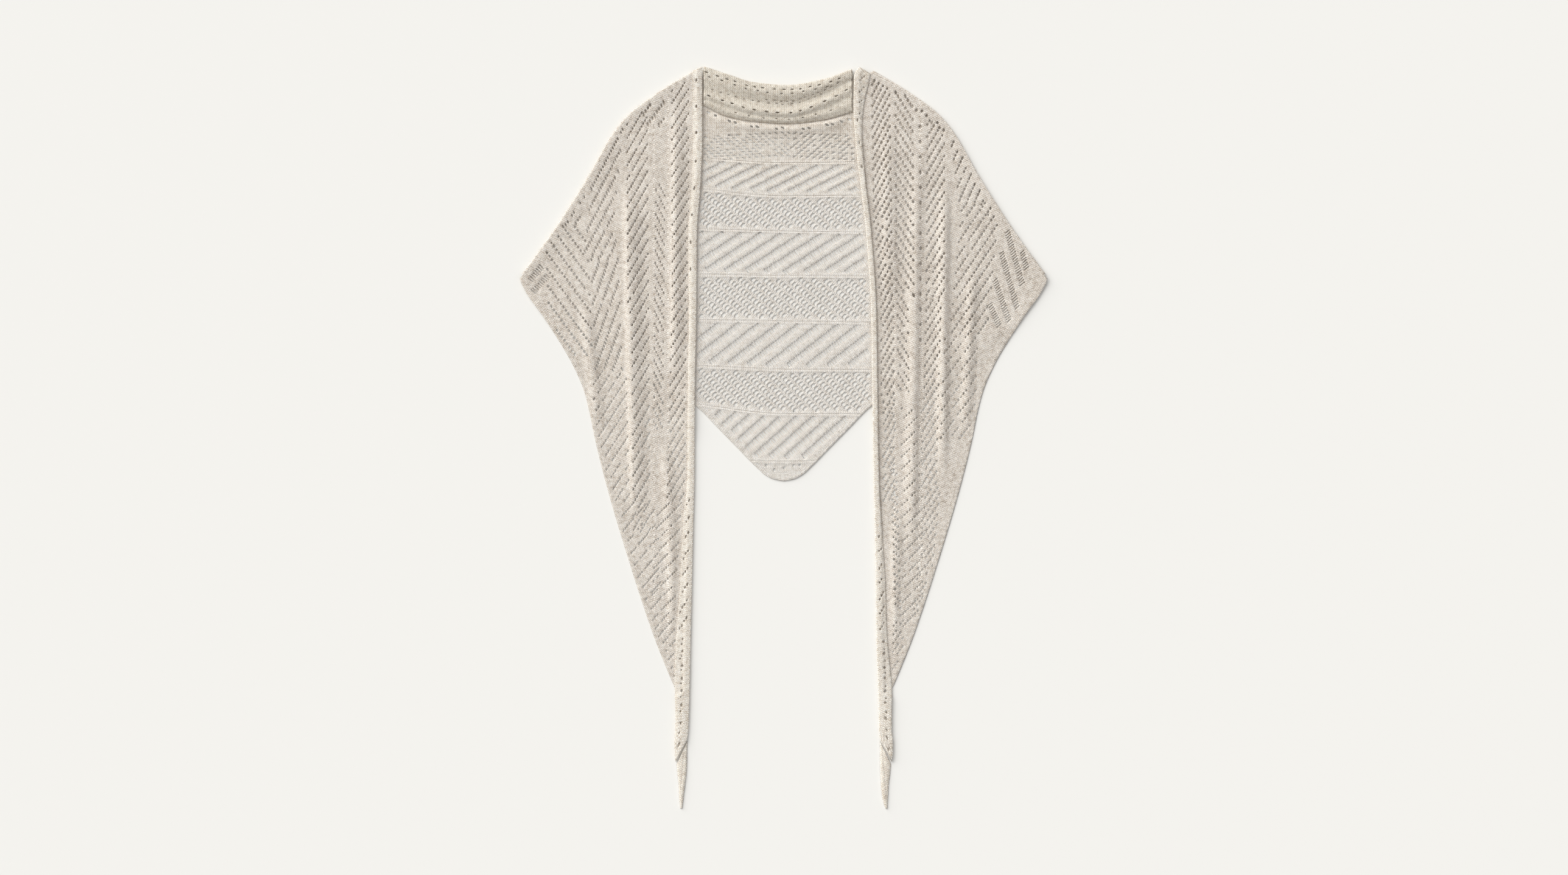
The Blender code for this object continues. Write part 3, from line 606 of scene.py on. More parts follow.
def wales(points, lean):
    """Returns stitch coordinates whose columns lean by some degrees from upright."""
    turn = math.radians(lean)
    x, y = points.T
    return np.stack([x * math.cos(turn) - y * math.sin(turn),
                     x * math.sin(turn) + y * math.cos(turn)], axis=1)


# %% [markdown]
# ## The fronts
# The lace of the fronts is a set of upright bands. In each band short slanted rows of eyelets repeat,
# to the right in one band and to the left in the next. Towards the side corners the bands turn
# with the knitting: round eyelets on the left, and ladders of dropped stitches on the right. A table
# with one row for each band is easier to match with the real piece than one formula for all.

# %% Bands of eyelets on the fronts
LACE_BANDS = (
    # side, top, bottom, inner at top, inner at bottom, width,
    # spacing, row step, slope, lean, wide, long, kept
    (LEFT, 6.0, 300.0, 121.0, 120.0, 24.0, 2.3, 15.6, 58.0, 15.0, 1.9, 4.2, 0.97),
    (LEFT, 300.0, 560.0, 120.0, 127.0, 23.0, 2.3, 16.0, 60.0, 15.0, 2.0, 4.2, 0.96),
    (LEFT, 150.0, 470.0, 151.0, 154.0, 13.0, 2.2, 15.6, -64.0, -12.0, 1.9, 4.3, 0.97),
    (LEFT, 60.0, 320.0, 174.0, 172.0, 27.0, 2.3, 17.5, 60.0, 14.0, 2.0, 4.4, 0.97),
    (LEFT, 320.0, 600.0, 172.0, 170.0, 24.0, 2.3, 17.5, 60.0, 14.0, 2.0, 4.3, 0.95),
    (LEFT, 26.0, 80.0, 152.0, 152.0, 46.0, 2.9, 21.0, 54.0, -16.0, 2.5, 6.2, 0.97),
    (LEFT, 80.0, 250.0, 205.0, 222.0, 34.0, 1.7, 27.0, 67.0, -19.0, 1.7, 5.6, 0.95),
    (LEFT, 225.0, 392.0, 212.0, 206.0, 36.0, 1.7, 28.0, 68.0, -22.0, 1.9, 6.0, 0.97),
    (LEFT, 205.0, 372.0, 250.0, 244.0, 56.0, 3.1, 21.5, -55.0, -28.0, 2.8, 4.7, 0.98),
    (LEFT, 100.0, 206.0, 240.0, 262.0, 28.0, 1.8, 26.0, 66.0, -18.0, 1.7, 5.2, 0.92),
    (LEFT, 392.0, 560.0, 200.0, 196.0, 44.0, 2.8, 18.5, 56.0, 20.0, 1.7, 4.4, 0.9),
    (LEFT, 560.0, 700.0, 166.0, 154.0, 42.0, 2.7, 18.5, 47.0, 22.0, 1.6, 4.2, 0.9),
    (LEFT, 560.0, 700.0, 130.0, 139.0, 30.0, 2.6, 17.0, 48.0, 18.0, 1.6, 4.2, 0.9),
    (LEFT, 700.0, 800.0, 140.0, 134.0, 30.0, 2.9, 14.0, 48.0, 20.0, 1.8, 3.5, 0.85),
    (RIGHT, 8.0, 300.0, 112.0, 116.0, 25.0, 2.7, 13.5, 62.0, 16.0, 2.8, 4.8, 0.98),
    (RIGHT, 300.0, 560.0, 121.0, 122.0, 20.0, 2.6, 14.0, 62.0, 16.0, 2.5, 4.5, 0.96),
    (RIGHT, 30.0, 300.0, 142.0, 143.0, 26.0, 3.1, 15.0, -58.0, -16.0, 3.0, 5.7, 0.98),
    (RIGHT, 300.0, 420.0, 145.0, 146.0, 15.0, 2.6, 15.0, -60.0, -16.0, 2.2, 4.4, 0.9),
    (RIGHT, 60.0, 360.0, 174.0, 174.0, 2.0, 2.0, 19.5, 0.0, 0.0, 3.4, 5.6, 1.0),
    (RIGHT, 60.0, 300.0, 183.0, 182.0, 25.0, 2.7, 15.6, 60.0, 15.0, 2.6, 4.6, 0.97),
    (RIGHT, 300.0, 540.0, 182.0, 176.0, 22.0, 2.6, 14.0, 60.0, 15.0, 2.2, 4.3, 0.95),
    (RIGHT, 176.0, 345.0, 228.0, 212.0, 50.0, 2.6, 20.0, 60.0, 14.0, 2.4, 4.4, 0.97),
    (RIGHT, 74.0, 185.0, 210.0, 226.0, 32.0, 2.7, 17.5, 60.0, 18.0, 2.5, 4.8, 0.95),
    (RIGHT, 96.0, 200.0, 242.0, 262.0, 34.0, 2.8, 17.0, 58.0, 16.0, 1.9, 4.4, 0.9),
    (RIGHT, 345.0, 480.0, 205.0, 200.0, 44.0, 3.0, 18.0, 55.0, 16.0, 2.0, 4.0, 0.88),
    (RIGHT, 420.0, 700.0, 134.0, 142.0, 9.0, 3.0, 9.5, 66.0, 6.0, 2.8, 3.4, 0.9),
    (RIGHT, 440.0, 720.0, 150.0, 152.0, 28.0, 3.1, 15.5, 46.0, 20.0, 1.7, 3.7, 0.88),
    (RIGHT, 540.0, 700.0, 182.0, 166.0, 20.0, 2.9, 13.0, 60.0, 15.0, 1.8, 4.0, 0.9),
    (RIGHT, 700.0, 800.0, 140.0, 138.0, 16.0, 3.0, 11.0, 55.0, 16.0, 2.2, 3.2, 0.8),
)
SHOULDER_EYELETS = (
    # right half and down: the widest eyelets of all, under the right shoulder
    (176.0, 52.0), (181.5, 56.5), (186.5, 61.5), (192.0, 67.0), (177.0, 59.5), (183.0, 65.5),
    (189.5, 74.0), (197.0, 74.5), (199.5, 81.0), (205.0, 84.0), (170.0, 58.5), (164.5, 53.5),
)
DROPPED_STITCHES = (
    # top half, top down, bottom half, bottom down: ladders on the right front
    (303.0, 231.0, 311.0, 261.0),
    (286.5, 214.0, 305.5, 281.0),
    (279.0, 241.0, 299.0, 311.0),
    (271.0, 276.0, 288.5, 328.0),
    (264.0, 307.0, 276.0, 334.0),
)
SHOULDER_HOLE = (3.7, 5.0, 12.0)
RUNG_SPACING = 3.1
RUNG_SLIT = (1.2, 8.4)
RUNG_LEAN = 50.0
CORNER_RUNGS = (
    # top half, top down, bottom half, bottom down: ladders in the left corner
    (310.0, 259.0, 324.0, 276.0),
    (302.0, 271.0, 320.0, 291.0),
)
FRONT_MARGIN = 5.0
HOLE_SPACING = 2.8


def band_holes(side):
    """Returns the eyelets of a front's bands, row by row."""
    groups = []
    for band in LACE_BANDS:
        band_side, top, bottom, inner_top, inner_bottom, width = band[:6]
        spacing, row, slope, lean, wide, long, kept = band[6:]
        if band_side != side:
            continue
        centres = []
        rise = math.tan(math.radians(slope))
        for offset in np.arange(spacing / 2, width, spacing):
            for base in np.arange(top - width * abs(rise), bottom + width * abs(rise), row):
                down = base - side * rise * offset
                if top <= down <= bottom and random.random() < kept:
                    inner = inner_top + (inner_bottom - inner_top) * (down - top) / (bottom - top)
                    centres.append(place(side, inner + offset, down))
        groups.append(holes_at(centres, wide, long, lean, uneven=HAND_UNEVEN))
    return groups


def ladder_holes(side, ladders, lean):
    """Returns the slits between the loose threads of dropped stitches."""
    groups = []
    for top_half, top, bottom_half, bottom in ladders:
        length = math.hypot(bottom_half - top_half, bottom - top)
        share = steps(0.0, 1.0, RUNG_SPACING / length)
        centres = place(side, top_half + (bottom_half - top_half) * share, top + (bottom - top) * share)
        groups.append(holes_at(centres, *RUNG_SLIT, lean, form=SLOT_FORM))
    return groups


def front_holes(side, outline):
    """Returns all the holes of a front that are clear of its outline and of each other."""
    if side == LEFT:
        groups = ladder_holes(side, CORNER_RUNGS, -RUNG_LEAN)
    else:
        groups = [listed_holes(SHOULDER_EYELETS, SHOULDER_HOLE)]
        groups += ladder_holes(side, DROPPED_STITCHES, RUNG_LEAN)
    holes = far_apart(np.concatenate(groups + band_holes(side)), HOLE_SPACING)
    ring = np.vstack([outline, outline[:1]])
    clear = inside(holes.mean(axis=1), outline) & (distance_to(holes.mean(axis=1), ring) > FRONT_MARGIN)
    return holes[clear]


# %% The outline of a front and its turned-under shoulder
EDGE_RADIUS = 0.7
EDGE_LEG = 5.0
EDGE_INSET = EDGE_RADIUS + SOLID_WALL
SHOULDER_LEG = 6.0
BEND_STEPS = 7
FRONT_NET = 2.5
FRONT_RIM_GAP = 1.1
TAIL_START = 800.0


def seam_half(side, down):
    """Returns the half width where a front meets the hidden leg of its rolled edge."""
    seam = SEAM * (1 + ease(1 - down / 60.0))
    return edge_half[side](down) + EDGE_INSET + EDGE_LEG + seam


def front_outline(side):
    """Returns a front's outline, which starts with its shoulder fold."""
    chain = fold_chain[side]
    first = LENGTH / 2 - chain[0, 1] + 6.0
    seam_downs = steps(first, TAIL_START - 1.5, 4.0)[::-1]
    hem_downs = steps(HEM[2][0], TAIL_START - 2.0, 4.0)
    corner = np.array([place(side, half, down) for down, half in HEM[:2]])
    hem = place(side, hem_half(hem_downs), hem_downs)
    seam = place(side, seam_half(side, seam_downs), seam_downs)
    return np.vstack([chain, corner, hem, seam])


def turn_under(flat, solid, faces, chain_points, side):
    """Carries the cloth round the shoulder fold and a short way in underneath."""
    chain = fold_chain[side]
    normals = outward_normals(chain, side)
    top = solid[chain_points, 2]
    bend = (top - SOLID_WALL) / 2
    previous = list(chain_points)
    route = [(math.pi * k / BEND_STEPS, 0.0) for k in range(1, BEND_STEPS + 1)]
    for angle, inward in route + [(math.pi, SHOULDER_LEG)]:
        out = bend * math.sin(angle) - inward
        row = chain + normals * out[:, None]
        height = top - bend * (1 - math.cos(angle))
        first = len(solid)
        solid = np.vstack([solid, np.column_stack([row, height])])
        flat = np.vstack([flat, chain + normals * (bend * angle + inward)[:, None]])
        here = list(range(first, first + len(row)))
        for i in range(len(row) - 1):
            quad = [previous[i], here[i], here[i + 1], previous[i + 1]]
            faces.append(quad if side == LEFT else quad[::-1])
        previous = here
    return flat, solid, faces


# %% Knitting direction on the fronts
WALE_TURNS = {
    # half widths where the columns of stitches change their lean, from the middle outwards
    LEFT: (148.0, 166.0),
    RIGHT: (142.0, 174.0, 177.0),
}
WALE_LEAN = 27.0
HEM_BORDER = 11.0


def front_stitches(side, hem_line):
    """Returns the function that gives a front its stitch coordinates."""
    turns = np.array((0.0,) + WALE_TURNS[side] + (400.0,))
    signs = np.array([(-1) ** i for i in range(len(turns) - 1)], float)
    folded = np.concatenate([[0.0], np.cumsum(np.diff(turns) * signs)])

    def stitches_of(points, middles):
        across = np.interp(abs(points[:, 0]), turns, folded)
        plain = wales(np.stack([across * side, points[:, 1]], axis=1), WALE_LEAN)
        border = distance_to(points, hem_line)
        along = np.stack([border, points[:, 1] * 1.2], axis=1)
        in_border = distance_to(middles, hem_line) < HEM_BORDER
        return np.where(in_border[:, None], along, plain)

    return stitches_of


# %% Make the fronts
def make_front(side, node):
    """Makes one front, from its rolled edge out to its hem."""
    outline = front_outline(side)
    holes = front_holes(side, outline)
    net = net_in(outline, holes, FRONT_NET, rim_gap=FRONT_RIM_GAP)
    flat, faces, made_from = fill(outline, holes, net)
    solid = np.column_stack([flat, resting_height(side, flat) + fold_height(side, flat)])
    chain_points = [made_from[i] for i in range(len(fold_chain[side]))]
    flat, solid, faces = turn_under(flat, solid, faces, chain_points, side)
    hem_downs = steps(HEM[0][0], TAIL_START, 8.0)
    hem_line = place(side, hem_half(hem_downs), hem_downs)
    stitches_of = front_stitches(side, hem_line)
    piece = knit_piece(node + "_lace", flat, solid, faces, stitches_of, front_yarn)
    print(piece.name, "holes:", len(holes))
    lay(piece, node, flat, outline)


for side, side_name in SIDES:
    make_front(side, side_name + "_front")


# %% [markdown]
# ## The back
# The back is knitted from side to side in bands, parted by raised garter lines. Every second band is
# a ladder lace, wide ribs that lean to the right with short rungs between them. The others are an open
# mesh of small slanted cells. Here each band is a lattice between two curved garter lines.

# %% Bands of the back
GARTER_PLACES = (-107.0, 0.0, 110.0)
GARTERS = (
    # down at the left, in the middle and at the right
    (119.0, 126.0, 124.4),
    (159.5, 168.1, 167.3),
    (210.2, 213.3, 214.9),
    (268.7, 270.3, 271.0),
    (327.2, 328.8, 330.3),
    (386.3, 390.4, 391.0),
    (435.5, 447.6, 447.6),
    (503.0, 508.5, 503.0),
)
BACK_BANDS = (
    # kind, lean of the ribs above level, spacing of the ribs, lean of the holes to the left
    ("ladder", 27.0, 26.0, 44.0),
    ("mesh", 40.0, 9.6, -42.0),
    ("ladder", 33.0, 26.0, 36.0),
    ("mesh", 40.0, 9.8, -42.0),
    ("ladder", 38.0, 26.0, 34.0),
    ("mesh", 44.0, 9.6, -44.0),
    ("ladder", 42.0, 21.0, 40.0),
)
RUNG_STEP = 3.5
RUNG_HOLE = (1.75, 8.0)
MESH_STEP = 5.2
MESH_HOLE = (3.7, 7.7)
GARTER_CLEAR = 4.4
SIDE_CLEAR = 3.0
BACK_HEM_CLEAR = 8.5
FAN_TOP = 87.0
FAN_STEP = (8.2, 3.7)
FAN_HOLE = (1.6, 6.4)
FAN_LEAN = 72.0
RIDGE_EYELETS = (
    # x, down: lozenges in pairs along the ridge below the neck
    (-96.0, 61.5), (-87.0, 65.5), (-69.5, 72.5), (-62.0, 74.5), (-41.0, 79.5), (-33.5, 80.0),
    (-9.0, 82.5), (-1.5, 81.0), (25.0, 82.5), (32.5, 81.5), (55.5, 77.5), (62.5, 76.5),
    (74.0, 73.0), (84.5, 70.5),
)
POINT_EYELETS = (
    # x, down: the few large eyelets near the point of the back
    (-22.0, 513.5), (-12.0, 519.0), (1.0, 516.5), (8.0, 521.5),
    (21.0, 513.0), (-4.5, 526.5), (12.5, 514.0), (-13.0, 525.0),
)
RIDGE_HOLE = (2.6, 5.6, -62.0)
POINT_HOLE = (2.6, 4.0, 35.0)
BACK_HOLE_SPACING = 2.9
garter_line = [smooth_curve(GARTER_PLACES, row) for row in GARTERS]


def visible_on_back(points, margin):
    """Says which points of the back show between the fronts and lie inside its hem."""
    down = down_of(points)
    half = np.where(points[:, 0] < 0, edge_half[LEFT](down), edge_half[RIGHT](down))
    return (abs(points[:, 0]) < half - margin) & (down < back_hem(abs(points[:, 0])) - margin)


def lattice_holes(index):
    """Returns the holes of one band of the back."""
    kind, lean, spacing, hole_lean = BACK_BANDS[index]
    turn = math.radians(lean)
    top, bottom = garter_line[index], garter_line[index + 1]
    if kind == "ladder":
        along = np.array([math.cos(turn), math.sin(turn)]) * RUNG_STEP
        sideways = np.array([spacing, 0.0])
        hole, form = RUNG_HOLE, SLOT_FORM
    else:
        along = np.array([math.cos(turn), -math.sin(turn)]) * MESH_STEP
        sideways = np.array([math.sin(turn), math.cos(turn)]) * spacing
        hole, form = MESH_HOLE, EYELET_FORM
    start = np.array([spacing / 2, LENGTH / 2 - float(top(0) + bottom(0)) / 2])
    reach = 80 if kind == "mesh" else 40
    i, j = np.meshgrid(np.arange(-reach, reach + 1), np.arange(-reach, reach + 1))
    shift = (j % 2) * 0.5 if kind == "mesh" else j * 0.37
    centres = start + (i + shift)[..., None] * along + j[..., None] * sideways
    centres = centres.reshape(-1, 2)
    down = down_of(centres)
    between = (down > top(centres[:, 0]) + GARTER_CLEAR) & (down < bottom(centres[:, 0]) - GARTER_CLEAR)
    return holes_at(centres[between], *hole, -hole_lean, form, uneven=0.12)


def back_holes():
    """Returns all the holes of the back, clear of its hem and of the fronts."""
    groups = [lattice_holes(i) for i in range(len(BACK_BANDS))]
    fan_across, fan_down = FAN_STEP
    for row, down in enumerate(np.arange(FAN_TOP, GARTERS[0][0] - 1.0, fan_down)):
        x = np.arange(-100.0 + (row % 2) * fan_across / 2, 96.0, fan_across)
        x = x[(random.random(len(x)) < 0.8) & (down < garter_line[0](x) - GARTER_CLEAR)]
        lean = np.where(x < 10.0, -FAN_LEAN, FAN_LEAN) * (0.85 + 0.15 * abs(x) / 100)
        groups.append(holes_at(place(RIGHT, x, down + 0.06 * abs(x)), *FAN_HOLE, lean))
    groups += [listed_holes(RIDGE_EYELETS, RIDGE_HOLE), listed_holes(POINT_EYELETS, POINT_HOLE)]
    holes = np.concatenate(groups)
    middles = holes.mean(axis=1)
    return holes[visible_on_back(middles, SIDE_CLEAR) & (inside_hem(middles) > BACK_HEM_CLEAR)]


print("holes in the back:", len(back_holes()))

# %% [markdown]
# ## The folds behind the neck
# The long edge is turned under at the top and stands in three soft folds that run from peak to peak.
# One table gives the line of each crest and valley at six places across, and its height. A smooth
# curve through them is the section of the cloth at any place, and eyelets follow the crests.

# %% Sections of the neck folds
NECK_PLACES = (-102.9, -70.0, -40.0, 4.0, 49.0, 88.1)
NECK_LINES = (
    # name, down at each place, middle height, end height
    ("silhouette", (1.2, 12.0, 21.5, 25.4, 18.3, 4.3), 6.5, 4.5),
    ("roll crest", (14.0, 24.0, 32.5, 37.0, 28.0, 11.5), 8.6, 4.7),
    ("first valley", (29.0, 40.0, 47.0, 52.0, 39.0, 19.5), 2.6, 2.2),
    ("second crest", (39.0, 50.0, 59.0, 63.5, 50.0, 29.5), 8.4, 5.2),
    ("small dip", (43.5, 56.0, 64.5, 68.0, 58.0, 40.0), 4.9, 3.0),
    ("third crest", (47.0, 60.5, 68.0, 71.2, 63.5, 50.0), 6.2, 4.5),
    ("deep crease", (52.0, 66.7, 72.0, 75.0, 70.6, 60.5), 1.7, 1.7),
)
NECK_RADIUS_MIDDLE = 2.5
NECK_RADIUS_END = 1.5
NECK_LEG = 6.0
NECK_NET = 2.1
NECK_SAMPLES = 90
NECK_HOLE_SPACING = 4.0
NECK_ROWS = (
    # line that the eyelets follow, distance below it, from x, to x, spacing, wide, long
    ("silhouette", 7.5, -97.0, 80.0, 12.0, 1.9, 5.2),
    ("silhouette", 12.0, -94.0, 76.0, 15.0, 1.5, 4.2),
    ("second crest", -1.0, -94.0, 84.0, 14.5, 1.9, 5.2),
    ("first valley", -5.0, -20.0, 70.0, 8.0, 1.2, 4.4),
    ("first valley", -1.0, -90.0, 60.0, 10.0, 1.1, 4.0),
    ("third crest", -1.0, -60.0, 70.0, 17.0, 1.3, 3.8),
)
neck_line = {name: smooth_curve(NECK_PLACES, downs) for name, downs, _, _ in NECK_LINES}


def nearness_to_end(x):
    """Returns 0 in the middle of the neck folds, rising to 1 at their two ends."""
    return ease((abs(x - (NECK_PLACES[0] + NECK_PLACES[-1]) / 2) - 40.0) / 55.0)


def neck_radius(x):
    """Returns the inner radius of the top bend of the neck folds."""
    return NECK_RADIUS_MIDDLE + (NECK_RADIUS_END - NECK_RADIUS_MIDDLE) * nearness_to_end(x)


def neck_section(x):
    """Returns the distance down, the height and the length along the cloth at one x."""
    radius = float(neck_radius(x))
    top = float(neck_line["silhouette"](x)) + radius + SOLID_WALL
    angle = np.linspace(0, math.pi, 12)
    bend_down = top - radius * np.sin(angle)
    bend_height = SOLID_WALL + radius * (1 - np.cos(angle))
    lines = [(top, SOLID_WALL + 2 * radius)]
    for name, _, middle, at_end in NECK_LINES[1:]:
        lines.append((float(neck_line[name](x)), middle + (at_end - middle) * float(nearness_to_end(x))))
    folds = smooth_curve([p[0] for p in lines], [p[1] for p in lines])
    down = steps(top, lines[-1][0], 0.7)[1:]
    down, height = (np.concatenate([[top + NECK_LEG], bend_down, down]),
                    np.concatenate([[SOLID_WALL], bend_height, folds(down)]))
    along = np.concatenate([[0], np.cumsum(np.hypot(np.diff(down), np.diff(height)))])
    even = np.linspace(0, along[-1], NECK_SAMPLES)
    return np.interp(even, along, down), np.interp(even, along, height), along[-1]


neck_x = steps(NECK_PLACES[0], NECK_PLACES[-1], 2.2)
neck_sections = [neck_section(x) for x in neck_x]
neck_down = np.array([s[0] for s in neck_sections])
neck_height = np.array([s[1] for s in neck_sections])
neck_length = np.array([s[2] for s in neck_sections])
print("cloth in the neck folds:", round(neck_length.min()), "to", round(neck_length.max()), "mm")


# %% Make the neck folds
def on_neck(flat):
    """Carries flat cloth, x and minus its length from the hidden edge, onto the folds."""
    column_at = np.interp(flat[:, 0], neck_x, np.arange(len(neck_x)))
    i = np.clip(column_at.astype(int), 0, len(neck_x) - 2)
    t = column_at - i
    row_at = -flat[:, 1] / np.interp(flat[:, 0], neck_x, neck_length) * (NECK_SAMPLES - 1)
    row_at = np.clip(row_at, 0, NECK_SAMPLES - 1)
    j = np.clip(row_at.astype(int), 0, NECK_SAMPLES - 2)
    u = row_at - j

    def blend(grid):
        upper = grid[i, j] * (1 - t) + grid[i + 1, j] * t
        lower = grid[i, j + 1] * (1 - t) + grid[i + 1, j + 1] * t
        return upper * (1 - u) + lower * u

    return np.column_stack([flat[:, 0], LENGTH / 2 - blend(neck_down), blend(neck_height)])


def along_neck(x, down):
    """Returns the length of cloth from the hidden edge down to a place on the folds."""
    found = []
    for place_x, place_down in zip(x, down):
        i = int(np.argmin(abs(neck_x - place_x)))
        top = int(np.argmin(neck_down[i]))
        j = top + int(np.argmin(abs(neck_down[i, top:] - place_down)))
        found.append(neck_length[i] * j / (NECK_SAMPLES - 1))
    return np.array(found)


def make_neck():
    """Makes the soft folds of the long edge behind the neck."""
    lower = np.column_stack([neck_x, -neck_length])
    outline = np.vstack([np.column_stack([neck_x, neck_x * 0])[::-1], lower])
    groups = []
    for line, below, first, last, spacing, wide, long in NECK_ROWS:
        x = np.arange(first, last, spacing)
        x = x + random.uniform(-2.0, 2.0, len(x))
        down = neck_line[line](x) + below
        slope = np.degrees(np.arctan2(neck_line[line](x + 3) - neck_line[line](x - 3), 6.0))
        centres = np.column_stack([x, -along_neck(x, down)])
        groups.append(holes_at(centres, wide, long, 90.0 + slope * 0.3))
    holes = far_apart(np.concatenate(groups), NECK_HOLE_SPACING)
    holes = holes[clear_of(holes.mean(axis=1), outline, 4.0)]
    net = net_in(outline, holes, NECK_NET)
    flat, faces, _ = fill(outline, holes, net)
    piece = knit_piece("neck_folds_lace", flat, on_neck(flat), faces,
                       lambda points, middles: points[:, ::-1], neck_yarn)
    lay(piece, "neck_folds", flat, outline)


make_neck()

# %% Heights of the back
RIDGE_BELOW = ((1.8, 0.0), (4.0, 2.9), (7.0, 4.2), (10.0, 3.7), (15.0, 1.6), (23.0, 0.0))
RIDGE_ENDS = (-101.0, 86.0)
RIDGE_END_REACH = 22.0
RIB_RISE = 0.45
GARTER_RISE = 0.95
HEM_BEAD = 0.5
BACK_NET = 2.5
HIDDEN_NET = 9.0
FINE_PAST = 6.0
FINE_TOP = 55.0
COARSE_PAST = 12.0
COARSE_TOP = 50.0
GARTER_OFFSETS = (-2.8, -1.5, -0.6, 0.0, 0.6, 1.5, 2.8)
GARTER_HALF = 2.6
HEM_STRETCH = 1.3
BAND_FADE = 5.0
BACK_SIDE_TOP = 16.0
ridge_profile = curve_of(RIDGE_BELOW)


def band_of(points):
    """Returns the number of the band that each point of the back lies in, or -1 above them."""
    down = down_of(points)
    return sum((down > line(points[:, 0])).astype(int) for line in garter_line) - 1


def back_relief(points):
    """Returns how high the back's ribs, garter lines and ridge stand."""
    down = down_of(points)
    x = points[:, 0]
    below = down - neck_line["deep crease"](x)
    ends = ease((x - RIDGE_ENDS[0]) / RIDGE_END_REACH) * ease((RIDGE_ENDS[1] - x) / RIDGE_END_REACH)
    rise = ends * ridge_profile(below) * (below < RIDGE_BELOW[-1][0]) * (below > RIDGE_BELOW[0][0])
    band = band_of(points)
    for index, (kind, lean, spacing, _) in enumerate(BACK_BANDS):
        turn = math.radians(lean)
        top, bottom = garter_line[index], garter_line[index + 1]
        middle = float(top(0) + bottom(0)) / 2
        in_band = band == index
        fade = ease((down - top(x)) / BAND_FADE) * ease((bottom(x) - down) / BAND_FADE)
        if kind == "ladder":
            phase = (x - (middle - down) / math.tan(turn)) / spacing
            rib = RIB_RISE * (0.5 + 0.5 * np.cos(2 * math.pi * phase)) ** 1.5
        else:
            phase = (x * math.sin(turn) + (middle - down) * math.cos(turn)) / spacing
            rib = 0.4 * RIB_RISE * (0.5 - 0.5 * np.cos(2 * math.pi * phase))
        rise = rise + in_band * fade * rib
    for line in garter_line:
        off = abs(down - line(x))
        rise = rise + GARTER_RISE * (np.exp(-((off - 1.5) / 0.9) ** 2) - 0.5 * np.exp(-(off / 0.6) ** 2))
    rise = np.maximum(rise, 0.0) * visible_on_back(points, 2.0)
    return rise + HEM_BEAD * np.exp(-((inside_hem(points) - 1.0) / 1.2) ** 2)


# %% Make the back
def back_side(side):
    """Returns the side of the back, a seam away from the leg that a front turns under."""
    chain = fold_chain[side]
    line = chain - outward_normals(chain, side) * (SHOULDER_LEG + SEAM)
    return line[down_of(line) > BACK_SIDE_TOP]


def back_outline():
    """Returns the outline of the back, inside the legs that the neck and the fronts turn under."""
    x = steps(NECK_PLACES[0], NECK_PLACES[-1], 4.0)[1:-1]
    top = neck_line["silhouette"](x) + NECK_LEG + 1.5 * SEAM + SOLID_WALL + neck_radius(x)
    right_side = back_side(RIGHT)
    half = steps(0.0, right_side[-1, 0] - 14.0, 4.0)
    hem_right, hem_left = half[::-1], half[1:]
    hem = np.vstack([place(RIGHT, hem_right, back_hem(hem_right)), place(LEFT, hem_left, back_hem(hem_left))])
    return np.vstack([place(RIGHT, x, top), right_side, hem, back_side(LEFT)[::-1]])


def back_stitches(points, middles):
    """Gives the back its stitch coordinates, which lean another way in each band."""
    stitches = wales(points, 90.0)
    band = band_of(middles)
    for index, (kind, lean, _, _) in enumerate(BACK_BANDS):
        turned = wales(points, 90.0 - lean if kind == "ladder" else lean - 90.0)
        stitches = np.where((band == index)[:, None], turned, stitches)
    down = down_of(middles)
    for line in garter_line:
        near = abs(down - line(middles[:, 0])) < GARTER_HALF
        stitches = np.where(near[:, None], wales(points, 90.0), stitches)
    along = np.column_stack([inside_hem(points), points[:, 0] * HEM_STRETCH])
    near_hem = inside_hem(middles) < BACK_HEM_CLEAR - 1.5
    return np.where(near_hem[:, None], along, stitches)


def make_back():
    """Makes the back: bands of lace between garter lines, and the ridge under the neck."""
    outline = back_outline()
    holes = far_apart(back_holes(), BACK_HOLE_SPACING)
    lines = []
    for line in garter_line:
        for offset in GARTER_OFFSETS:
            x = np.arange(-112.0, 112.0, 2.5)
            chain = place(RIGHT, x, line(x) + offset)
            lines.append(chain[visible_on_back(chain, 1.0)])
    for below, _ in RIDGE_BELOW:
        x = steps(RIDGE_ENDS[0] + 1.0, RIDGE_ENDS[1] - 1.0, 2.5)
        lines.append(place(RIGHT, x, neck_line["deep crease"](x) + below))
    net = net_in(outline, holes, BACK_NET, lines)
    net = net[visible_on_back(net, -FINE_PAST) & (down_of(net) > FINE_TOP)]
    hidden = net_in(outline, holes, HIDDEN_NET, lines)
    hidden = hidden[~(visible_on_back(hidden, -COARSE_PAST) & (down_of(hidden) > COARSE_TOP))]
    flat, faces, _ = fill(outline, holes, np.vstack([net, hidden]), lines)
    solid = np.column_stack([flat, back_relief(flat)])
    piece = knit_piece("back_panel_lace", flat, solid, faces, back_stitches, back_yarn)
    lay(piece, "back_panel", outline, outline)


make_back()

# %% [markdown]
# ## The rolled edges
# The long edge of the knitting curls over along each front, as plain knitting does. The strip is laid
# out flat with its eyelets, and each point is then carried round the roll: a hidden leg, a tight bend
# and the leg that shows. In the tails the strip takes over the whole width and ends at a twist.

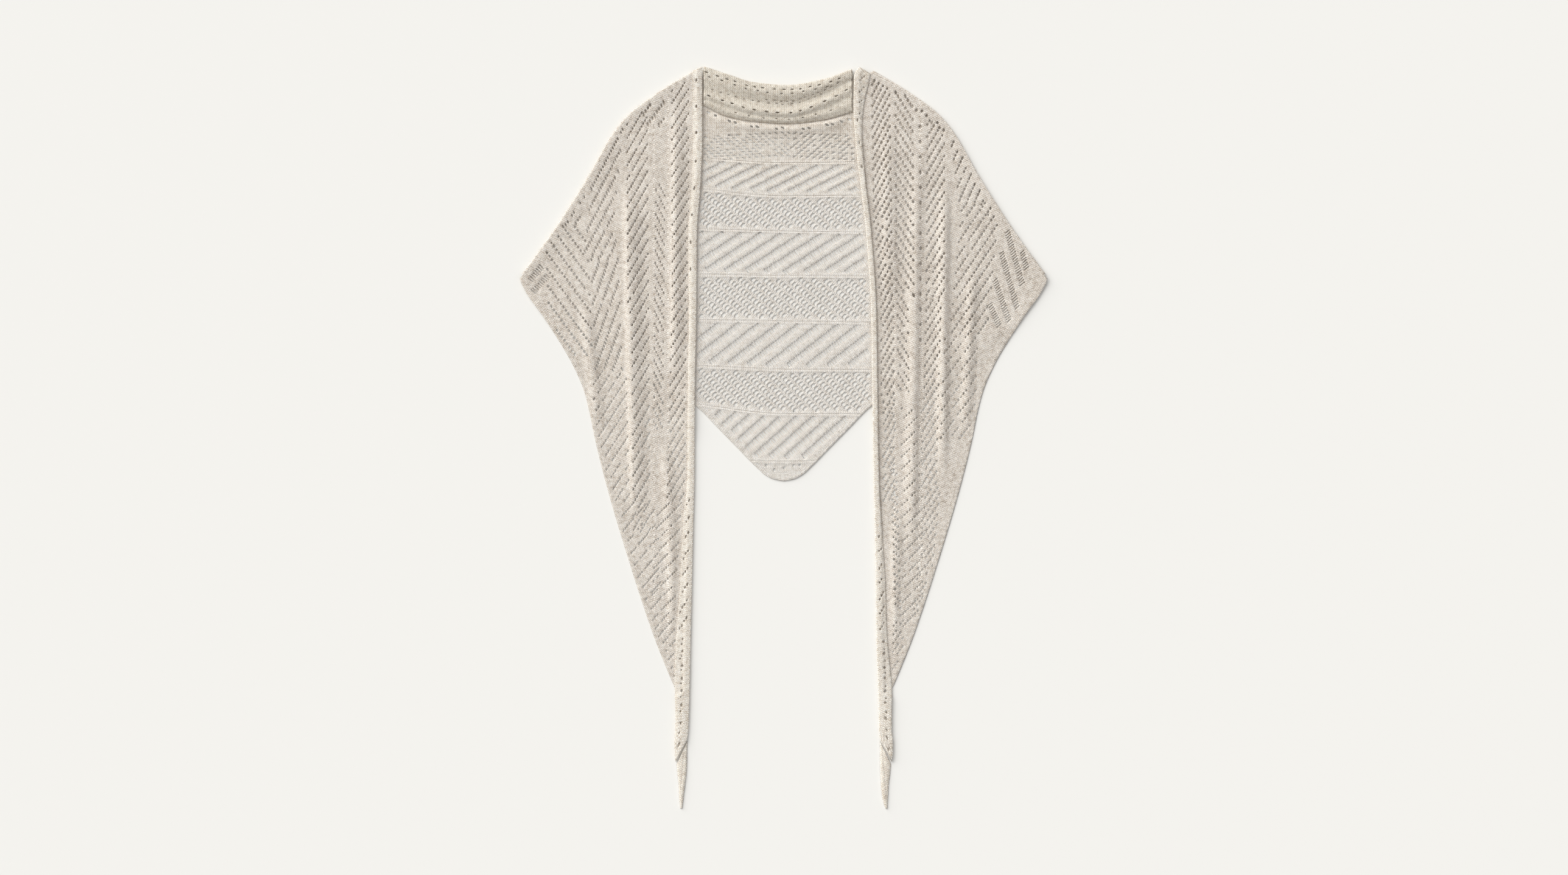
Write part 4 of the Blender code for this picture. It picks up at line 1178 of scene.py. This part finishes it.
# %% The roll
EDGE_CROWN = 0.8
EDGE_DROP = 1.85
TAIL_LEG_DONE = 814.0
TWIST_AT = 863.0
TWIST_SLANT = 30.0
TWIST_REACH = 45.0
PEAK_SLANT = 0.45
PEAK_REACH = 60.0
EDGE_TOP = 3.0
EDGE_NET = 2.1
STRIP_HOLE_SPACING = 3.2
STRIP_HOLE_CLEAR = 2.4
BEND_LENGTH = math.pi * EDGE_RADIUS
STRIP_BANDS = (
    # side, top, bottom, middle across, width, columns, row step, slope, wide, long
    (LEFT, 18.0, 560.0, 6.0, 1.0, 1, 35.0, 0.0, 2.1, 5.2),
    (LEFT, 565.0, 735.0, 8.5, 11.0, 4, 21.5, 60.0, 2.0, 4.8),
    (LEFT, 735.0, 862.0, 8.5, 1.0, 1, 17.0, 0.0, 3.3, 3.8),
    (LEFT, 742.0, 862.0, 10.5, 4.0, 2, 17.0, 40.0, 2.1, 2.6),
    (RIGHT, 70.0, 560.0, 3.2, 1.0, 1, 31.0, 0.0, 1.9, 4.8),
    (RIGHT, 14.0, 60.0, 9.0, 8.0, 3, 15.0, 55.0, 1.7, 3.6),
    (RIGHT, 600.0, 740.0, 6.0, 7.0, 3, 20.0, 60.0, 2.0, 4.0),
    (RIGHT, 740.0, 862.0, 7.5, 1.0, 1, 15.5, 0.0, 3.4, 4.0),
    (RIGHT, 748.0, 862.0, 9.5, 4.0, 2, 15.5, 40.0, 2.1, 2.8),
)


def hidden_leg(side, down):
    """Returns the width of the leg under the roll. It grows to the whole width in the tail."""
    into_tail = ease((down - TAIL_START) / (TAIL_LEG_DONE - TAIL_START))
    return EDGE_LEG + (strip_width[side](down) - EDGE_INSET - EDGE_LEG) * into_tail


def rolled(side, flat):
    """Carries flat cloth, across from the bend and minus its distance down, round the roll."""
    across, down = flat[:, 0], -flat[:, 1]
    width = strip_width[side](down)
    angle = np.clip(across / EDGE_RADIUS + math.pi, 0, math.pi)
    beyond = np.maximum(across, 0)
    out = EDGE_INSET - EDGE_RADIUS * np.sin(angle) + np.maximum(-across - BEND_LENGTH, 0) + beyond
    crown = EDGE_CROWN * (0.3 + 0.7 * ease(width / 12.0 - 0.5))
    rise = SOLID_WALL + EDGE_RADIUS * (1 - np.cos(angle))
    rise = rise + crown * np.sin(math.pi * np.clip(beyond / (width - EDGE_INSET), 0, 1))
    rise = rise - EDGE_DROP * ease((out - EDGE_INSET - hidden_leg(side, down) - 0.3) / 3.2) * (across > 0)
    slant = PEAK_SLANT * np.maximum(out - 1.0, 0.0) * ease(1 - (down - EDGE_TOP) / PEAK_REACH)
    slant = slant + TWIST_SLANT * out / width * ease(1 - (TWIST_AT - down) / TWIST_REACH)
    points = place(side, edge_half[side](down + slant) + out, down + slant)
    return np.column_stack([points, resting_height(side, points) + rise])


def strip_holes(side):
    """Returns the eyelets of a rolled edge, on the leg that shows."""
    groups = []
    for strip_side, top, bottom, middle, width, columns, row, slope, wide, long in STRIP_BANDS:
        if strip_side != side:
            continue
        for i in range(columns):
            offset = width * ((i + 0.5) / columns - 0.5)
            rise = math.tan(math.radians(slope)) * offset if columns > 1 else 0.0
            down = np.arange(top, bottom, row)
            down = down + random.uniform(-1.5, 1.5, len(down)) - side * rise
            centres = np.column_stack([np.full(len(down), middle + offset), -down])
            lean = 16.0 * side if columns > 1 else 4.0 * side
            groups.append(holes_at(centres, wide, long, lean, uneven=HAND_UNEVEN))
    return far_apart(np.concatenate(groups), STRIP_HOLE_SPACING)


# %% Make the rolled edges
def make_edge(side, node):
    """Makes the rolled edge of a front, down to the twist in its tail."""
    downs = steps(EDGE_TOP, TWIST_AT, 2.5)
    inner = np.column_stack([-hidden_leg(side, downs) - BEND_LENGTH, -downs])
    outer = np.column_stack([strip_width[side](downs) - EDGE_INSET, -downs])
    outline = np.vstack([inner, outer[::-1]])
    holes = strip_holes(side)
    middles = holes.mean(axis=1)
    room = strip_width[side](-middles[:, 1]) - EDGE_INSET - middles[:, 0]
    holes = holes[(room > STRIP_HOLE_CLEAR) & (middles[:, 0] > 1.8) & (middles[:, 1] > -TWIST_AT + 4.0)]
    bend = [np.column_stack([np.full(len(downs), -BEND_LENGTH * k / 6), -downs]) for k in range(7)]
    net = net_in(outline, holes, EDGE_NET, bend)
    net = net[(net[:, 0] > 0) | (net[:, 0] < -BEND_LENGTH)]
    flat, faces, _ = fill(outline, holes, net, bend)
    if side == LEFT:
        faces = [face[::-1] for face in faces]
    piece = knit_piece(node + "_lace", flat, rolled(side, flat), faces,
                       lambda points, middles: wales(points, 12.0 * side), edge_yarn)
    lay(piece, node, flat, outline)


for side, side_name in SIDES:
    make_edge(side, side_name + "_edge")

# %% [markdown]
# ## The twisted points
# Below its twist each tail is a narrow strip rolled on itself, round on top and flat underneath, that
# tapers to a point. It is a closed form: a grid over the top, and its shadow on the table below.

# %% Make the points of the tails
TIP_TOP = 2.9
TIP_COLUMNS = 13
TIP_GAP = 3.6
TIP_FOOT = 0.25
TIP_SLANT_REACH = 80.0
GROOVE_RUN = 130.0


def tip_rows(side):
    """Returns the flat places and the heights of a point's rows."""
    places, heights = [], []
    first = TWIST_AT + TIP_GAP
    for down in steps(first, LENGTH, 2.0):
        share = np.linspace(0, 1, TIP_COLUMNS)
        slanted = np.minimum(down + TWIST_SLANT * share * ease(1 - (down - first) / TIP_SLANT_REACH), LENGTH)
        width = float(strip_width[side](down))
        places.append(place(side, float(edge_half[side](down)) + width * share, slanted))
        dome = np.sqrt(np.clip(1 - abs(2 * share - 1) ** 2.2, 0, 1))
        groove = 0.5 * np.exp(-((share - 0.25 - (down - first) / GROOVE_RUN) / 0.08) ** 2)
        taper = 0.45 + 0.55 * ease(width / 9.0)
        heights.append(TIP_FOOT + (TIP_TOP - TIP_FOOT) * taper * dome * (1 - groove * 0.5))
    return np.array(places), np.array(heights)


def make_tip(side, node):
    """Makes the rolled point of a tail."""
    places, heights = tip_rows(side)
    rows, columns = heights.shape
    top = np.column_stack([places.reshape(-1, 2), heights.ravel()])
    under = np.column_stack([places.reshape(-1, 2), np.zeros(rows * columns)])
    solid = np.vstack([top, under])
    index = np.arange(rows * columns).reshape(rows, columns)
    quads = []
    for i in range(rows - 1):
        for j in range(columns - 1):
            quad = [index[i, j], index[i + 1, j], index[i + 1, j + 1], index[i, j + 1]]
            quads += [quad, [v + rows * columns for v in quad[::-1]]]
    rim = [*index[:, 0], *index[-1, 1:], *index[-2::-1, -1], *index[0, -2:0:-1]]
    for a, b in zip(rim, rim[1:] + rim[:1]):
        quads.append([b, a, a + rows * columns, b + rows * columns])
    if side == LEFT:
        quads = [quad[::-1] for quad in quads]
    flat = np.vstack([places.reshape(-1, 2)] * 2)
    piece = knit_piece(node + "_lace", flat, solid, quads,
                       lambda points, middles: wales(points, 20.0 * side), edge_yarn)
    piece.modifiers.clear()
    outline = np.vstack([places[:, 0], places[::-1, -1]])
    lay(piece, node, flat, outline)


for side, side_name in SIDES:
    make_tip(side, side_name + "_tip")

# %% [markdown]
# ## The table, the light and the camera
# The shawl lies flat, so the camera looks straight down on it. One large soft light stands at the
# upper left, low enough for the folds to shade. A weak one across from it and a pale sky fill the
# rest. Painted shade darkens the paper only where cloth lies close above it, and the paper has a weak painted
# glow.

# %% Floor, lights and camera
FRAME_WIDE = 2.009
LENS = 85.0
SENSOR = 36.0
CAMERA_HEIGHT = FRAME_WIDE * LENS / SENSOR
FLOOR_DROP = 0.0004
# How close cloth must lie above the paper for the paper to get painted shade.
PAINTED_SHADE_REACH = 0.0007
PAPER = "#e8e7e3"
SKY = "#f6f6f6"
SKY_STRENGTH = 0.33
LIGHTS = (
    # name, shines from, strength, softness in degrees, colour
    ("window_light", (-1.0, 0.9, 0.95), 3.6, 65.0, "#fffefc"),
    ("fill_light", (1.0, -0.5, 1.6), 0.35, 60.0, "#f6f8ff"),
)


def surface_below():
    """Makes the pale surface that the shawl lies on."""
    mesh = bpy.data.meshes.new("table_top")
    mesh.from_pydata([(-6, -6, 0), (6, -6, 0), (6, 6, 0), (-6, 6, 0)], [], [(0, 1, 2, 3)])
    floor = add_object("table_top", mesh)
    floor.location.z = -FLOOR_DROP
    paper = bpy.data.materials.new("matt_paper")
    paper.use_nodes = True
    tree = paper.node_tree
    shader = tree.nodes["Principled BSDF"]
    # Painted shade: an ambient occlusion node darkens the paper's colour under nearby cloth. The paper also
    # has a weak painted glow in that colour.
    set_inputs(shader, Roughness=0.9, Emission_Strength=PAINTED_GLOW)
    under = add_node(tree, "ShaderNodeAmbientOcclusion", Color=(*linear(PAPER), 1.0), Distance=PAINTED_SHADE_REACH)
    tree.links.new(under.outputs["Color"], shader.inputs["Base Color"])
    tree.links.new(under.outputs["Color"], shader.inputs["Emission Color"])
    mesh.materials.append(paper)
    return floor


def soft_light(name, towards, strength, softness, colour):
    """Adds a broad even light that shines from a direction over the whole table."""
    data = bpy.data.lights.new(name, "SUN")
    data.energy = strength
    data.angle = math.radians(softness)
    data.color = linear(colour)
    light = add_object(name, data)
    light.location = towards
    light.rotation_mode = "QUATERNION"
    light.rotation_quaternion = Vector(towards).to_track_quat("Z", "Y")


surface_below()
for light_row in LIGHTS:
    soft_light(*light_row)
world = bpy.data.worlds.new("pale_studio")
world.use_nodes = True
set_inputs(world.node_tree.nodes["Background"], Color=(*linear(SKY), 1.0), Strength=SKY_STRENGTH)
bpy.context.scene.world = world
bpy.context.scene.view_settings.view_transform = "Standard"

camera = add_object("camera", bpy.data.cameras.new("camera"))
camera.data.lens = LENS
camera.data.sensor_width = SENSOR
camera.location = (0.0004, -0.0012, CAMERA_HEIGHT)
bpy.context.scene.camera = camera
print("camera height:", round(CAMERA_HEIGHT, 3), "m")
